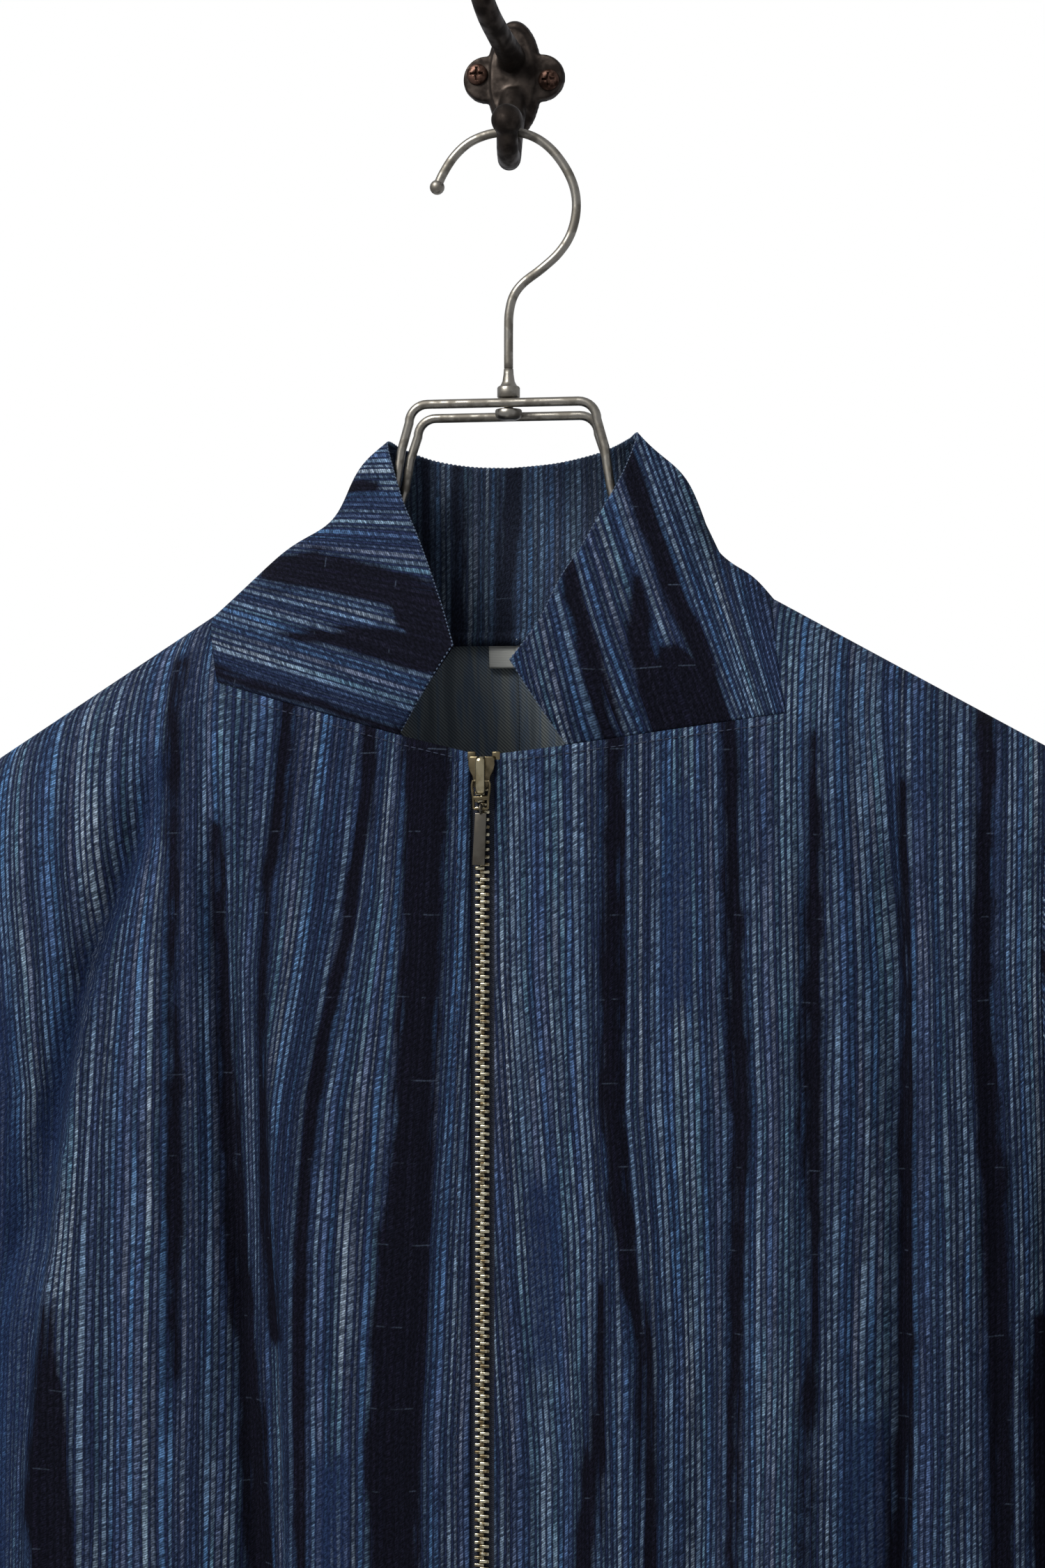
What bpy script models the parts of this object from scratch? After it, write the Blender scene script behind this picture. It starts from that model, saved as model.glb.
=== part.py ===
"""Striped zip jacket on a two-wire hanger, hung on a cast wall hook.

Lengths are in millimetres until the last step, which scales every point to metres.
X runs to the viewer's right, Y into the wall, Z up.  The origin is the middle of the
back face of the wall plate, so the wall is the plane Y = 0 and the jacket is in front
of it, at negative Y.
"""
import math

import bmesh
import bpy
from mathutils import Matrix, Vector, kdtree

MM = 0.001
WELD = 0.000001           # points closer than this become one, in metres

# Driving dimensions of the garment
CENTRE_X = 4.0            # middle of jacket and hanger, beside the plate's middle
HANGER_Y = -50.0          # plane of the hanger arms, under the shoulder seams
CLOTH = 1.6               # thickness of the cloth wall
SEAM_GAP = 0.3            # clearance between two sewn pieces
CURVED_GAP = 0.45         # the same at the armhole and neck, where facets turn
UNDERARM_GAP = 0.8        # the same at the foot of the armhole, its tightest bend
LEFT = -1
RIGHT = 1
FRONT = -1
BACK = 1

HEM_Z = -825.0
UNDERARM_Z = -470.0
ARMHOLE_MID_Z = -375.0
FRONT_DEPTH = 48.0        # from the hanger plane to the chest
BACK_DEPTH = 40.0         # from the hanger plane to the back
HEM_FLARE = 4.0           # extra depth of the front at the hem
SHOULDER_DROP = 75.0      # height over which cloth rounds from the shoulder to the chest
FLATNESS = 3.0            # exponent of the flattened oval of the body
ARMHOLE_OPEN = 0.74       # depth left at the armhole, as a share of the body's depth
SHOULDER_X = 217.0        # where sleeve and shoulder meet
ARMHOLE_CURVE = 5.0      # how far the armhole curves in towards the chest
SIDE_X = 220.0            # side seam under the arm
HEM_SIDE_X = 223.0
SHOULDER_START_X = 115.0
SHOULDER_START_Z = {LEFT: -224.5, RIGHT: -225.8}
SHOULDER_SLOPE = {LEFT: 0.63, RIGHT: 0.55}
NECK_SIDE_X = 66.0        # below this the shoulder line is carried on level

# The square notch that the collar is set in: its side seam leans a little
NOTCH_TOP_X = {LEFT: 118.8, RIGHT: 109.2}
NOTCH_LOW_X = {LEFT: 108.7, RIGHT: 117.3}
NOTCH_Z = {LEFT: -255.8, RIGHT: -268.9}
COLLAR_END_X = 33.0       # the collar's front ends stop here, short of the zip
COLLAR_END_Z = {LEFT: -277.0, RIGHT: -281.0}
ZIP_TOP_Z = -285.0
BACK_NECK_Z = -234.0

ZIP_OPENING = 9.5         # between the two folded front edges

# Mesh counts: intervals along each stretch
YOKE_ROWS = 4             # shoulder line down to the notch corner, on the front
BACK_YOKE_ROWS = 2        # the same on the back, where the notch is shallow
ARM_ROWS = 6              # notch corner down to the underarm
BODY_ROWS = 12            # underarm down to the hem
NECK_COLUMNS = 2          # zip edge to the collar's end
CHEST_COLUMNS = 6         # collar's end to the notch seam
OUTER_COLUMNS = 7         # notch seam to the armhole or side seam
SLEEVE_ROWS = 17
COLLAR_ROWS = 7

# Soft folds: x and z where the fold begins, x and z where it ends, width, height.
# A negative height is a trough.
FRONT_FOLDS = {
    LEFT: (
        (131, -290, 182, -470, 14, -9),
        (110, -310, 78, -830, 13, -9),
        (136, -430, 124, -830, 17, 6),
        (52, -520, 44, -830, 20, 4),
    ),
    RIGHT: (
        (156, -290, 163, -600, 12, -6),
        (92, -470, 78, -830, 18, -7),
        (120, -420, 116, -830, 18, 5),
        (161, -560, 158, -830, 15, -5),
    ),
}
BACK_FOLDS = {
    LEFT: (
        (150, -330, 165, -820, 17, -6),
        (60, -420, 72, -820, 20, -6),
        (105, -380, 112, -820, 18, 5),
    ),
    RIGHT: (
        (140, -330, 152, -820, 17, -6),
        (45, -450, 58, -820, 20, -6),
        (95, -380, 100, -820, 18, 5),
    ),
}
FOLD_LEAD = 0.2           # a fold rises over this share of its length above its start
FOLD_TAIL = 0.25          # and runs on below its end by this share
FOLD_EASE = 0.45          # share of its length over which it reaches its full height
FOLD_SIDE_FADE = 22.0     # folds fade out over this distance from the outer seam
FOLD_SHOULDER_EASE = 1.2  # how soon folds are full below the shoulder line

# Sleeve
CUFF_Z = -843.0
SLEEVE_MIDDLE_Y = -52.0
SLEEVE_HALF_DEPTH = (34, 41, 45, 47, 47, 46, 45, 44)
# Outer and inner outline of the sleeve seen from the front, evenly spaced stations
SLEEVE_OUTER = ((217, 0), (248, -22), (276, -66), (294, -152), (302, -242), (304, -342),
                (302, -452), (296, -562))
SLEEVE_INNER = ((220, -470), (224, -476), (227, -488), (228, -520), (228, -580), (229, -660),
                (230, -750), (232, -843))
SLEEVE_TAPER = 0.28       # share of the length over which the armhole's shape fades out
SLEEVE_ROW_GROWTH = 1.15  # rows lie closer at the armhole than at the cuff
SLEEVE_FOLD_START = 0.05  # folds begin at this share of the length
SLEEVE_FOLD_EASE = 0.2    # and are full after this share more
# Sleeve folds: turn round the sleeve and share of length at both ends, width, height
SLEEVE_FOLDS = (
    (0.30, 0.18, 0.17, 0.46, 0.055, -4.0),
    (0.16, 0.50, 0.30, 0.78, 0.050, -3.5),
    (0.40, 0.30, 0.33, 0.98, 0.045, 3.0),
    (0.72, 0.20, 0.80, 0.60, 0.055, -4.0),
    (0.83, 0.62, 0.70, 0.95, 0.050, -3.0),
)

# Collar
WING_STATIONS = CHEST_COLUMNS + YOKE_ROWS + BACK_YOKE_ROWS
BACK_STATIONS = CHEST_COLUMNS + NECK_COLUMNS
# Free edge from the front corner round to the collar's back corner, even stations
WING_EDGE = {
    LEFT: ((-10.6, -105, -242), (-16.5, -96, -227), (-24, -86, -210), (-31, -76, -196),
           (-38, -67, -183), (-44, -58, -168), (-47.6, -49, -158), (-46, -38, -158)),
    RIGHT: ((12.1, -105, -248), (22, -98, -233), (29, -89, -216), (36, -80, -203),
            (43, -71, -188), (50, -60, -172), (54.4, -49, -156), (50, -37, -156)),
}
BACK_EDGE = {
    LEFT: ((-46, -38, -158), (-41, -25, -160), (-32, -18, -162.5), (-18, -15, -164.5),
           (-3, -14, -165)),
    RIGHT: ((50, -37, -156), (42, -25, -158), (32, -18, -160.5), (16, -15, -163.5),
            (-3, -14, -165)),
}
# Profile over the shoulder: a shallow trough, then a swelling, as share and size
COLLAR_TROUGH = {LEFT: (0.62, -6.0), RIGHT: (0.34, -5.0)}
COLLAR_SWELL = {LEFT: (0.86, 2.5), RIGHT: (0.72, 3.5)}
PROFILE_WIDTH = 0.16      # width of trough and swelling, as a share of the collar's height
PROFILE_START = 0.25      # share of the height over which they fade in above the seam
PROFILE_REACH = 3.0       # stations from the shoulder over which they fade out
WING_BOW = 3.0            # how far the wings round out towards the front
BOW_STATIONS = CHEST_COLUMNS + 2
SEAM_INWARDS = 0.85       # over the shoulder the collar starts inwards and up in these shares
SEAM_UPWARDS = 0.5
SEAM_CORNER = 1.4         # the most that a corner lengthens the gap

# Zip
TAPE_WIDTH = 13.0
TAPE_THICK = 0.7
TAPE_INNER_X = 0.5
TAPE_TOP_DROP = 1.0       # the tapes start below the neckline by this
TAPE_HEM_GAP = 2.0        # and end above the hem by this
TAPE_SET_BACK = 0.25      # the tape's outer edge lies back, away from the cloth
CHAIN_WIDTH = 5.8
CHAIN_THICK = 2.2
CHAIN_TOP_Z = -296.5
CHAIN_END_Z = -817.0
ZIP_ROWS = 14
STOP_X = 2.6
STOP_LIFT = 0.4
STOP_SIZE = (3.4, 1.8, 4.0)
RETAINER_SIZE = (7.5, 3.4, 7.0)
SLIDER_TOP_Z = -285.4
SLIDER_TALL = 10.6
SLIDER_TOP_WIDE = 10.4
SLIDER_LOW_WIDE = 7.0
SLIDER_PLATE = 1.6
SLIDER_STAND_OFF = 0.6    # from the cloth's outer surface to the back of the plate
SLIDER_ROUND = 0.6

# Slider, pull link and pull tab
BRIDGE_WIDE = 4.2
BRIDGE_THICK = 1.1
BRIDGE_TOP_Z = -287.0
BRIDGE_LOW_Z = -297.6
BRIDGE_REACH = 3.4
LINK_AXIS_Z = -294.8
LINK_WIDE = 7.0
LINK_BAR = 1.1
LINK_WINDOW = 4.9
LINK_LOW_Z = -306.2
LINK_MID_Z = -301.0
TAB_RING = 1.75
TAB_RING_WIRE = 0.5
TAB_RING_STEPS = 12
TAB_WIDE = 5.6
TAB_TALL = 20.5
TAB_THICK = 1.4

# Label inside the back neck
LABEL_HALF_WIDE = 12.0
LABEL_TOP_Z = -236.0
LABEL_LOW_Z = -248.0
LABEL_THICK = 0.8
LABEL_SEAT = 1.3          # from the curve of the back to the label, past the flat facets

# Wire hanger
WIRE = 1.85               # wire radius
FRONT_WIRE_Y = -52.4
BACK_WIRE_Y = -40.4
HOOK_Y = -48.0
HOOK_X = 1.7              # the hook stands a little beside the bars' middle
BAR_Z = {FRONT: -142.5, BACK: -146.8}
BAR_HALF = {FRONT: 38.4, BACK: 37.2}
CORNER = 7.5
CORNER_STEPS = 3
LEG_LOW_X = {FRONT: 44.8, BACK: 43.4}
LEG_LOW_Z = -180.0
LEG_SPREAD = 0.3          # share of the way out to the arms' planes at the leg's foot
BEND_SPREAD = 0.5         # and just past the bend into the shoulder
BEND_SIZE = (6.5, 14.0)   # across and down from the leg's foot to past the bend
ARM_START_X = 70.0
ARM_END_X = 196.0
ARM_STEPS = 5
END_BEND = 4.0            # length over which the two wires turn together at the ends
ARM_DROP = 6.7            # wire centre below the shoulder line
ARM_SPREAD = {FRONT: -55.5, BACK: -44.5}
ARM_END_Y = {FRONT: -52.2, BACK: -47.8}

# Hook bend seen from the front, from the ball end to the shank, beside HOOK_X
HOOK_POINTS = ((-29.4, -54.0), (-27.2, -49.0), (-22.6, -42.0), (-16.4, -36.5), (-8.6, -33.4),
               (0.0, -32.6), (8.6, -34.2), (16.4, -39.2), (23.0, -47.5), (26.9, -56.5),
               (27.6, -65.5), (25.4, -74.6), (20.6, -82.0), (13.6, -88.2), (6.2, -93.6),
               (2.2, -98.6), (0.4, -104.8), (0.0, -112.0), (0.0, -128.0))
HOOK_BALL = 3.0
# Collar, nut, shank and rivet head as radius and height, from the top down
FERRULE = ((0, -128.3), (1.9, -128.3), (2.1, -131.5), (3.2, -135.0), (4.6, -136.0),
           (4.6, -140.2), (1.85, -140.2), (1.85, -144.7), (5.4, -144.7), (5.4, -147.6),
           (4.0, -149.0), (0, -149.0))

# Wall hook
PLATE_THICK = 4.0
# Slabs of the plate: middle, half width, half height, thickness, run into the wall.
# The upright middle stands higher than the round lobes that take the screws.
PLATE_SLABS = (
    (0.0, 12.0, 25.0, 3.6, 3.8),
    (-0.1, 10.2, 22.0, 5.2, 3.4),
    (-11.8, 10.0, 10.0, PLATE_THICK, 4.2),
    (11.8, 10.0, 10.0, PLATE_THICK, 5.0),
)
PLATE_ROUND = 0.9
SLAB_SIDES = 28
WALL_ROOM = ((-40, 0, -60), (40, 20, 80))
SCREW_X = 15.2
SCREW_Z = {LEFT: 1.8, RIGHT: -1.7}
SCREW_RADIUS = 4.4
SCREW_TALL = 2.0
SCREW_ROUND = 0.7
RECESS = 0.9              # width and depth of the cross
RECESS_HALF_LONG = 2.8
# Arm centre lines from the plate outwards, and their radii
LOWER_ARM = ((0, -1.5, -8), (0.5, -10, -20), (1.5, -19, -31), (3, -30, -39.2),
             (4.5, -41, -41.2), (5.7, -51, -38.8), (6.6, -57, -33.5))
LOWER_RADIUS = (6.0, 5.4, 5.0, 4.8, 4.6, 4.4, 4.2)
LOWER_BALL = (6.8, -58.5, -30.0)
UPPER_ARM = ((0, -1.5, 6), (-0.5, -12, 9), (-1.8, -28, 12), (-3.6, -44, 17), (-5.4, -57, 26),
             (-6.6, -64, 37))
UPPER_RADIUS = (6.0, 5.4, 5.0, 4.8, 4.5, 4.2)
UPPER_BALL = (-7.2, -66.0, 43.0)
BALL_RADIUS = 6.4


def smooth(value):
    """Ease from 0 to 1."""
    value = min(max(value, 0.0), 1.0)
    return value * value * (3.0 - 2.0 * value)


def mix(start, end, share):
    return start + (end - start) * share


def along(points, share):
    """Point at a share of a smooth curve through evenly weighted points."""
    last = len(points) - 1
    place = min(max(share, 0.0), 1.0) * last
    index = min(int(place), last - 1)
    t = place - index
    p0 = points[max(index - 1, 0)]
    p1 = points[index]
    p2 = points[index + 1]
    p3 = points[min(index + 2, last)]
    return 0.5 * (2 * p1 + (p2 - p0) * t + (2 * p0 - 5 * p1 + 4 * p2 - p3) * t * t
                  + (3 * p1 - p0 - 3 * p2 + p3) * t * t * t)


# Body: a flattened oval hung from two shoulder lines

def shoulder_z(side, x):
    """Height of the shoulder line at a distance x from the middle."""
    x = max(x, NECK_SIDE_X)
    return SHOULDER_START_Z[side] - SHOULDER_SLOPE[side] * (x - SHOULDER_START_X)


def edge_x(side, z):
    """Distance of the armhole seam, and below it of the side seam, from the middle."""
    top = shoulder_z(side, SHOULDER_X)
    if z >= UNDERARM_Z:
        share = min(max((top - z) / (top - UNDERARM_Z), 0.0), 1.0)
        straight = mix(SHOULDER_X, SIDE_X, share)
        return straight - ARMHOLE_CURVE * math.sin(math.pi * share)
    return mix(SIDE_X, HEM_SIDE_X, (UNDERARM_Z - z) / (UNDERARM_Z - HEM_Z))


def armhole_share(z):
    """Share of the body's depth that is left at the outer edge, at height z."""
    if z >= ARMHOLE_MID_Z:
        return ARMHOLE_OPEN
    if z <= UNDERARM_Z:
        return 0.0
    share = (ARMHOLE_MID_Z - z) / (ARMHOLE_MID_Z - UNDERARM_Z)
    return ARMHOLE_OPEN * math.sqrt(max(1.0 - share * share, 0.0))


def fold_height(folds, x, z):
    """Sum of the soft folds at a place on a panel."""
    total = 0.0
    for x_top, z_top, x_low, z_low, width, height in folds:
        share = (z_top - z) / (z_top - z_low)
        if share <= -FOLD_LEAD or share >= 1.0 + FOLD_TAIL:
            continue
        middle = mix(x_top, x_low, share)
        rise = smooth((share + FOLD_LEAD) / FOLD_EASE)
        fall = smooth((1.0 + FOLD_TAIL - share) / FOLD_LEAD)
        total += height * rise * fall * math.exp(-((x - middle) / width) ** 2)
    return total


def body_point(side, face, x, z, edge):
    """Outer surface of the body at distance x from the middle and height z."""
    folds = FRONT_FOLDS[side] if face == FRONT else BACK_FOLDS[side]
    depth = FRONT_DEPTH if face == FRONT else BACK_DEPTH
    down = min(max((shoulder_z(side, x) - z) / SHOULDER_DROP, 0.0), 1.0)
    rounding = math.sqrt(max(1.0 - (1.0 - down) ** 2, 0.0))
    flare = smooth((z - UNDERARM_Z) / (HEM_Z - UNDERARM_Z)) * (HEM_FLARE if face == FRONT else 0.0)
    left_over = armhole_share(z)
    virtual = edge / (1.0 - left_over ** FLATNESS) ** (1.0 / FLATNESS)
    oval = max(1.0 - (x / virtual) ** FLATNESS, 0.0) ** (1.0 / FLATNESS)
    fade = smooth((edge - x) / FOLD_SIDE_FADE) * smooth(down * FOLD_SHOULDER_EASE)
    out = (depth + flare) * rounding * oval + fold_height(folds, x, z) * fade
    return Vector((CENTRE_X + side * x, HANGER_Y + face * (SEAM_GAP / 2 + out), z))


def neckline_z(side, face, x):
    """Height of the neckline and the notch's foot at a distance x from the middle."""
    if face == BACK:
        return BACK_NECK_Z
    if x <= COLLAR_END_X:
        return mix(ZIP_TOP_Z, COLLAR_END_Z[side], x / COLLAR_END_X)
    share = (x - COLLAR_END_X) / (NOTCH_LOW_X[side] - COLLAR_END_X)
    return mix(COLLAR_END_Z[side], NOTCH_Z[side], share)


def chest_top(side, face, x):
    """Height of the first full row: the neckline, then a line on to the armhole."""
    if x < NOTCH_LOW_X[side]:
        return neckline_z(side, face, x)
    corner_z = neckline_z(side, face, NOTCH_LOW_X[side])
    drop = shoulder_z(side, NOTCH_TOP_X[side]) - corner_z
    beyond = (x - NOTCH_LOW_X[side]) / (SHOULDER_X - NOTCH_LOW_X[side])
    return mix(corner_z, shoulder_z(side, SHOULDER_X) - drop, min(beyond, 1.0))


def panel_grid(side, face):
    """Rows of (x, z, outer edge's x) from the shoulder line down to the hem.

    Yoke rows hold only the columns outside the notch; the others are None.
    """
    yoke_rows = YOKE_ROWS if face == FRONT else BACK_YOKE_ROWS
    arm_rows = ARM_ROWS + YOKE_ROWS - yoke_rows
    inner_start = ZIP_OPENING / 2 if face == FRONT else SEAM_GAP / 2
    notch_low = NOTCH_LOW_X[side]
    corner_z = chest_top(side, face, notch_low)
    first_z = chest_top(side, face, SHOULDER_X)
    underarm_share = (first_z - UNDERARM_Z) / (first_z - HEM_Z)
    shares = [underarm_share * row / arm_rows for row in range(arm_rows + 1)]
    shares += [mix(underarm_share, 1.0, (row + 1) / BODY_ROWS) for row in range(BODY_ROWS)]

    inner = [mix(inner_start, COLLAR_END_X, c / NECK_COLUMNS) for c in range(NECK_COLUMNS)]
    inner += [mix(COLLAR_END_X, notch_low, c / CHEST_COLUMNS) for c in range(CHEST_COLUMNS)]

    rows = []
    for row in range(yoke_rows):
        share = (row / yoke_rows) ** 2
        notch = mix(NOTCH_TOP_X[side], notch_low, share)
        edge_height = mix(shoulder_z(side, SHOULDER_X), first_z, share)
        edge = edge_x(side, edge_height)
        cells = [None] * len(inner)
        for column in range(OUTER_COLUMNS + 1):
            x = mix(notch, edge, math.sin(math.pi / 2 * column / OUTER_COLUMNS))
            low = mix(corner_z, first_z, (x - notch) / (edge - notch))
            z = mix(shoulder_z(side, x), low, share)
            cells.append((x, z, edge))
        rows.append(cells)
    for share in shares:
        edge_height = mix(first_z, HEM_Z, share)
        edge = edge_x(side, edge_height)
        cells = [(x, mix(chest_top(side, face, x), HEM_Z, share), edge) for x in inner]
        for column in range(OUTER_COLUMNS + 1):
            x = mix(notch_low, edge, math.sin(math.pi / 2 * column / OUTER_COLUMNS))
            cells.append((x, mix(chest_top(side, face, x), HEM_Z, share), edge))
        rows.append(cells)
    return rows


def panel_points(side, face):
    return [[None if cell is None else body_point(side, face, *cell) for cell in row]
            for row in panel_grid(side, face)]


# Walls: a sheet of points becomes a closed solid of the cloth's thickness

def neighbour(points, row, column, down, right):
    """The grid point next to this one, or None past an edge or in the notch."""
    r = row + down
    c = column + right
    if r < 0 or c < 0 or r >= len(points) or c >= len(points[r]):
        return None
    return points[r][c]


def grid_normals(points, outward, ring=False):
    """Unit directions out of the cloth, from each point's neighbours."""
    normals = []
    for r, row in enumerate(points):
        line = []
        for c, point in enumerate(row):
            if point is None:
                line.append(None)
                continue
            if ring:
                left = row[c - 1]
                right = row[(c + 1) % len(row)]
            else:
                left = neighbour(points, r, c, 0, -1) or point
                right = neighbour(points, r, c, 0, 1) or point
            above = neighbour(points, r, c, -1, 0) or point
            below = neighbour(points, r, c, 1, 0) or point
            line.append((right - left).cross(below - above).normalized() * outward)
        normals.append(line)
    return normals


def share_normals(sheets, reach=1.3):
    """Points that meet across a seam get one common direction."""
    cells = [(sheet, r, c) for sheet in sheets for r, row in enumerate(sheet["points"])
             for c, point in enumerate(row) if point is not None]
    tree = kdtree.KDTree(len(cells))
    for index, (sheet, r, c) in enumerate(cells):
        tree.insert(sheet["points"][r][c], index)
    tree.balance()
    shared = []
    for sheet, r, c in cells:
        total = Vector((0, 0, 0))
        for _, index, _ in tree.find_range(sheet["points"][r][c], reach):
            other, row, column = cells[index]
            total += other["normals"][row][column]
        shared.append(total.normalized())
    for (sheet, r, c), normal in zip(cells, shared):
        sheet["normals"][r][c] = normal


def make_object(name, mesh, material):
    thing = bpy.data.objects.new(name, mesh)
    jacket.objects.link(thing)
    mesh.materials.clear()
    mesh.materials.append(material)
    return thing


def build_wall(sheet, material, thickness=CLOTH):
    """Close a sheet of points into a wall; a ring's last column meets its first."""
    ring = sheet["ring"]
    mesh = bpy.data.meshes.new(sheet["name"])
    shape = bmesh.new()
    outer = {}
    inner = {}
    for r, row in enumerate(sheet["points"]):
        for c, point in enumerate(row):
            if point is None:
                continue
            outer[r, c] = shape.verts.new(point * MM)
            inner[r, c] = shape.verts.new((point - sheet["normals"][r][c] * thickness) * MM)
    open_edges = {}
    for r in range(len(sheet["points"]) - 1):
        columns = len(sheet["points"][r])
        for c in range(columns if ring else columns - 1):
            corner = [(r, c), (r, (c + 1) % columns), (r + 1, (c + 1) % columns), (r + 1, c)]
            if any(place not in outer for place in corner):
                continue
            if sheet["outward"] < 0:
                corner.reverse()
            shape.faces.new([outer[place] for place in reversed(corner)])
            shape.faces.new([inner[place] for place in corner])
            for start, end in zip(corner, corner[1:] + corner[:1]):
                if (end, start) in open_edges:
                    del open_edges[end, start]
                else:
                    open_edges[start, end] = True
    for start, end in open_edges:
        shape.faces.new([outer[start], outer[end], inner[end], inner[start]])
    bmesh.ops.recalc_face_normals(shape, faces=shape.faces)
    shape.to_mesh(mesh)
    shape.free()
    return make_object(sheet["name"], mesh, material)


def make_sheet(name, points, outward, ring=False):
    """A named sheet of points with its outward directions."""
    return {"name": name, "points": points, "outward": outward, "ring": ring,
            "normals": grid_normals(points, outward, ring)}


# Sleeve: a tube from the armhole down to the cuff

def sleeve_shape(side, share, turn):
    """Point of the plain sleeve tube; turn 0 is the outer side, 0.25 the front."""
    top = shoulder_z(side, SHOULDER_X)
    drop = CUFF_Z - top
    outer_x = along([x for x, _ in SLEEVE_OUTER], share)
    outer_z = top + along([z for _, z in SLEEVE_OUTER], share) * drop / SLEEVE_OUTER[-1][1]
    inner_x = along([x for x, _ in SLEEVE_INNER], share)
    inner_z = along([z for _, z in SLEEVE_INNER], share)
    depth = along(SLEEVE_HALF_DEPTH, share)
    angle = 2 * math.pi * turn
    swell = fold_height(((a, -b, c, -d, w, h) for a, b, c, d, w, h in SLEEVE_FOLDS),
                        turn, -share)
    swell *= smooth((share - SLEEVE_FOLD_START) / SLEEVE_FOLD_EASE)
    grow = 1.0 + swell / depth
    reach = math.cos(angle) * grow
    x = (outer_x + inner_x) / 2 + (outer_x - inner_x) / 2 * reach
    z = (outer_z + inner_z) / 2 + (outer_z - inner_z) / 2 * reach
    y = SLEEVE_MIDDLE_Y - depth * math.sin(angle) * grow
    return Vector((CENTRE_X + side * x, y, z))


def armhole_loop(front, back):
    """Points round the armhole from the two panels' outer edges, top, front, under, back."""
    down_front = [row[-1] for row in front[:YOKE_ROWS + ARM_ROWS + 1]]
    down_back = [row[-1] for row in back[:YOKE_ROWS + ARM_ROWS + 1]]
    top = (down_front[0] + down_back[0]) / 2
    under = (down_front[-1] + down_back[-1]) / 2
    return [top] + down_front[1:-1] + [under] + down_back[-2:0:-1]


def sleeve_points(side, front, back):
    loop = armhole_loop(front, back)
    count = len(loop)
    seam = []
    for index, point in enumerate(loop):
        run = loop[(index + 1) % count] - loop[index - 1]
        radial = point - sum(loop, Vector()) / count
        away = run.cross(radial).normalized()
        if away.x * side < 0:
            away.negate()
        low = max(-math.cos(2 * math.pi * index / count), 0.0) ** 4
        seam.append(point + away * mix(CURVED_GAP, UNDERARM_GAP, low))
    rows = []
    for row in range(SLEEVE_ROWS + 1):
        share = (row / SLEEVE_ROWS) ** SLEEVE_ROW_GROWTH
        fade = 1.0 - smooth(share / SLEEVE_TAPER)
        line = []
        for index in range(count):
            turn = index / count
            shift = seam[index] - sleeve_shape(side, 0.0, turn)
            line.append(sleeve_shape(side, share, turn) + shift * fade)
        rows.append(line)
    return rows


# Collar: a stand set into the square notch, open at the front

def edge_at(points, share):
    return Vector([along([point[axis] for point in points], share) for axis in range(3)])


def collar_seam(side, front, back):
    """The notch's edge, from the collar's front end round to the middle of the back."""
    corner = NECK_COLUMNS + CHEST_COLUMNS
    edge = [front[YOKE_ROWS][column] for column in range(NECK_COLUMNS, corner + 1)]
    edge += [front[row][corner] for row in range(YOKE_ROWS - 1, 0, -1)]
    edge.append((front[0][corner] + back[0][corner]) / 2)
    edge += [back[row][corner] for row in range(1, BACK_YOKE_ROWS)]
    edge += [back[BACK_YOKE_ROWS][column] for column in range(corner, -1, -1)]
    seam = []
    for index, point in enumerate(edge):
        before = edge[index] - edge[max(index - 1, 0)]
        after = edge[min(index + 1, len(edge) - 1)] - edge[index]
        inward = Vector((0, 0, 0))
        for run in (before, after):
            if run.length > 0:
                level = Vector((-side * abs(run.z), 0, abs(run.x)))
                level += Vector((-side * SEAM_INWARDS, 0, SEAM_UPWARDS)) * abs(run.y)
                inward += level.normalized()
        inward.normalize()
        share = 1.0 / max(inward.x * -side, inward.z)
        seam.append(point + inward * CURVED_GAP * min(share, SEAM_CORNER))
    return seam


def collar_points(side, front, back):
    """Columns run up from the seam; returns the wing's and the back half's stations."""
    seam = collar_seam(side, front, back)
    stations = []
    for index, low in enumerate(seam):
        if index <= WING_STATIONS:
            high = edge_at(WING_EDGE[side], index / WING_STATIONS)
        else:
            high = edge_at(BACK_EDGE[side], (index - WING_STATIONS) / BACK_STATIONS)
        high.x += CENTRE_X
        chord = high - low
        out = Vector((side * abs(chord.z), 0, abs(chord.x))).normalized()
        near_top = math.exp(-((index - WING_STATIONS + 1) / PROFILE_REACH) ** 2)
        line = []
        for step in range(COLLAR_ROWS + 1):
            share = step / COLLAR_ROWS
            rise = 0.0
            for place, size in (COLLAR_TROUGH[side], COLLAR_SWELL[side]):
                rise += size * math.exp(-((share - place) / PROFILE_WIDTH) ** 2)
            point = low + chord * share + out * rise * near_top * smooth(share / PROFILE_START)
            bow = WING_BOW * (1.0 - smooth(index / BOW_STATIONS))
            point.y -= bow * math.sin(math.pi * share)
            line.append(point)
        stations.append(line)
    return stations


def pull_apart(stations, end):
    """Draw the last or first station back by half a seam gap."""
    line = stations[end]
    inside = stations[end - 1 if end < 0 else end + 1]
    stations[end] = [point + (other - point).normalized() * SEAM_GAP / 2
                     for point, other in zip(line, inside)]


def collar_sheets(panels):
    halves = {side: collar_points(side, panels[side, FRONT], panels[side, BACK])
              for side in (LEFT, RIGHT)}
    wings = {side: [list(line) for line in half[:WING_STATIONS + 1]]
             for side, half in halves.items()}
    for wing in wings.values():
        pull_apart(wing, -1)
    left_back = halves[LEFT][WING_STATIONS:]
    right_back = halves[RIGHT][WING_STATIONS:]
    middle = [(a + b) / 2 for a, b in zip(left_back[-1], right_back[-1])]
    across = left_back[:-1] + [middle] + right_back[-2::-1]
    pull_apart(across, 0)
    pull_apart(across, -1)
    return [
        make_sheet("collar_left", wings[LEFT], 1),
        make_sheet("collar_right", wings[RIGHT], -1),
        make_sheet("collar_back", across, 1),
    ]


# Zip: two tapes behind the front edges, a chain between, slider and pull

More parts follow.
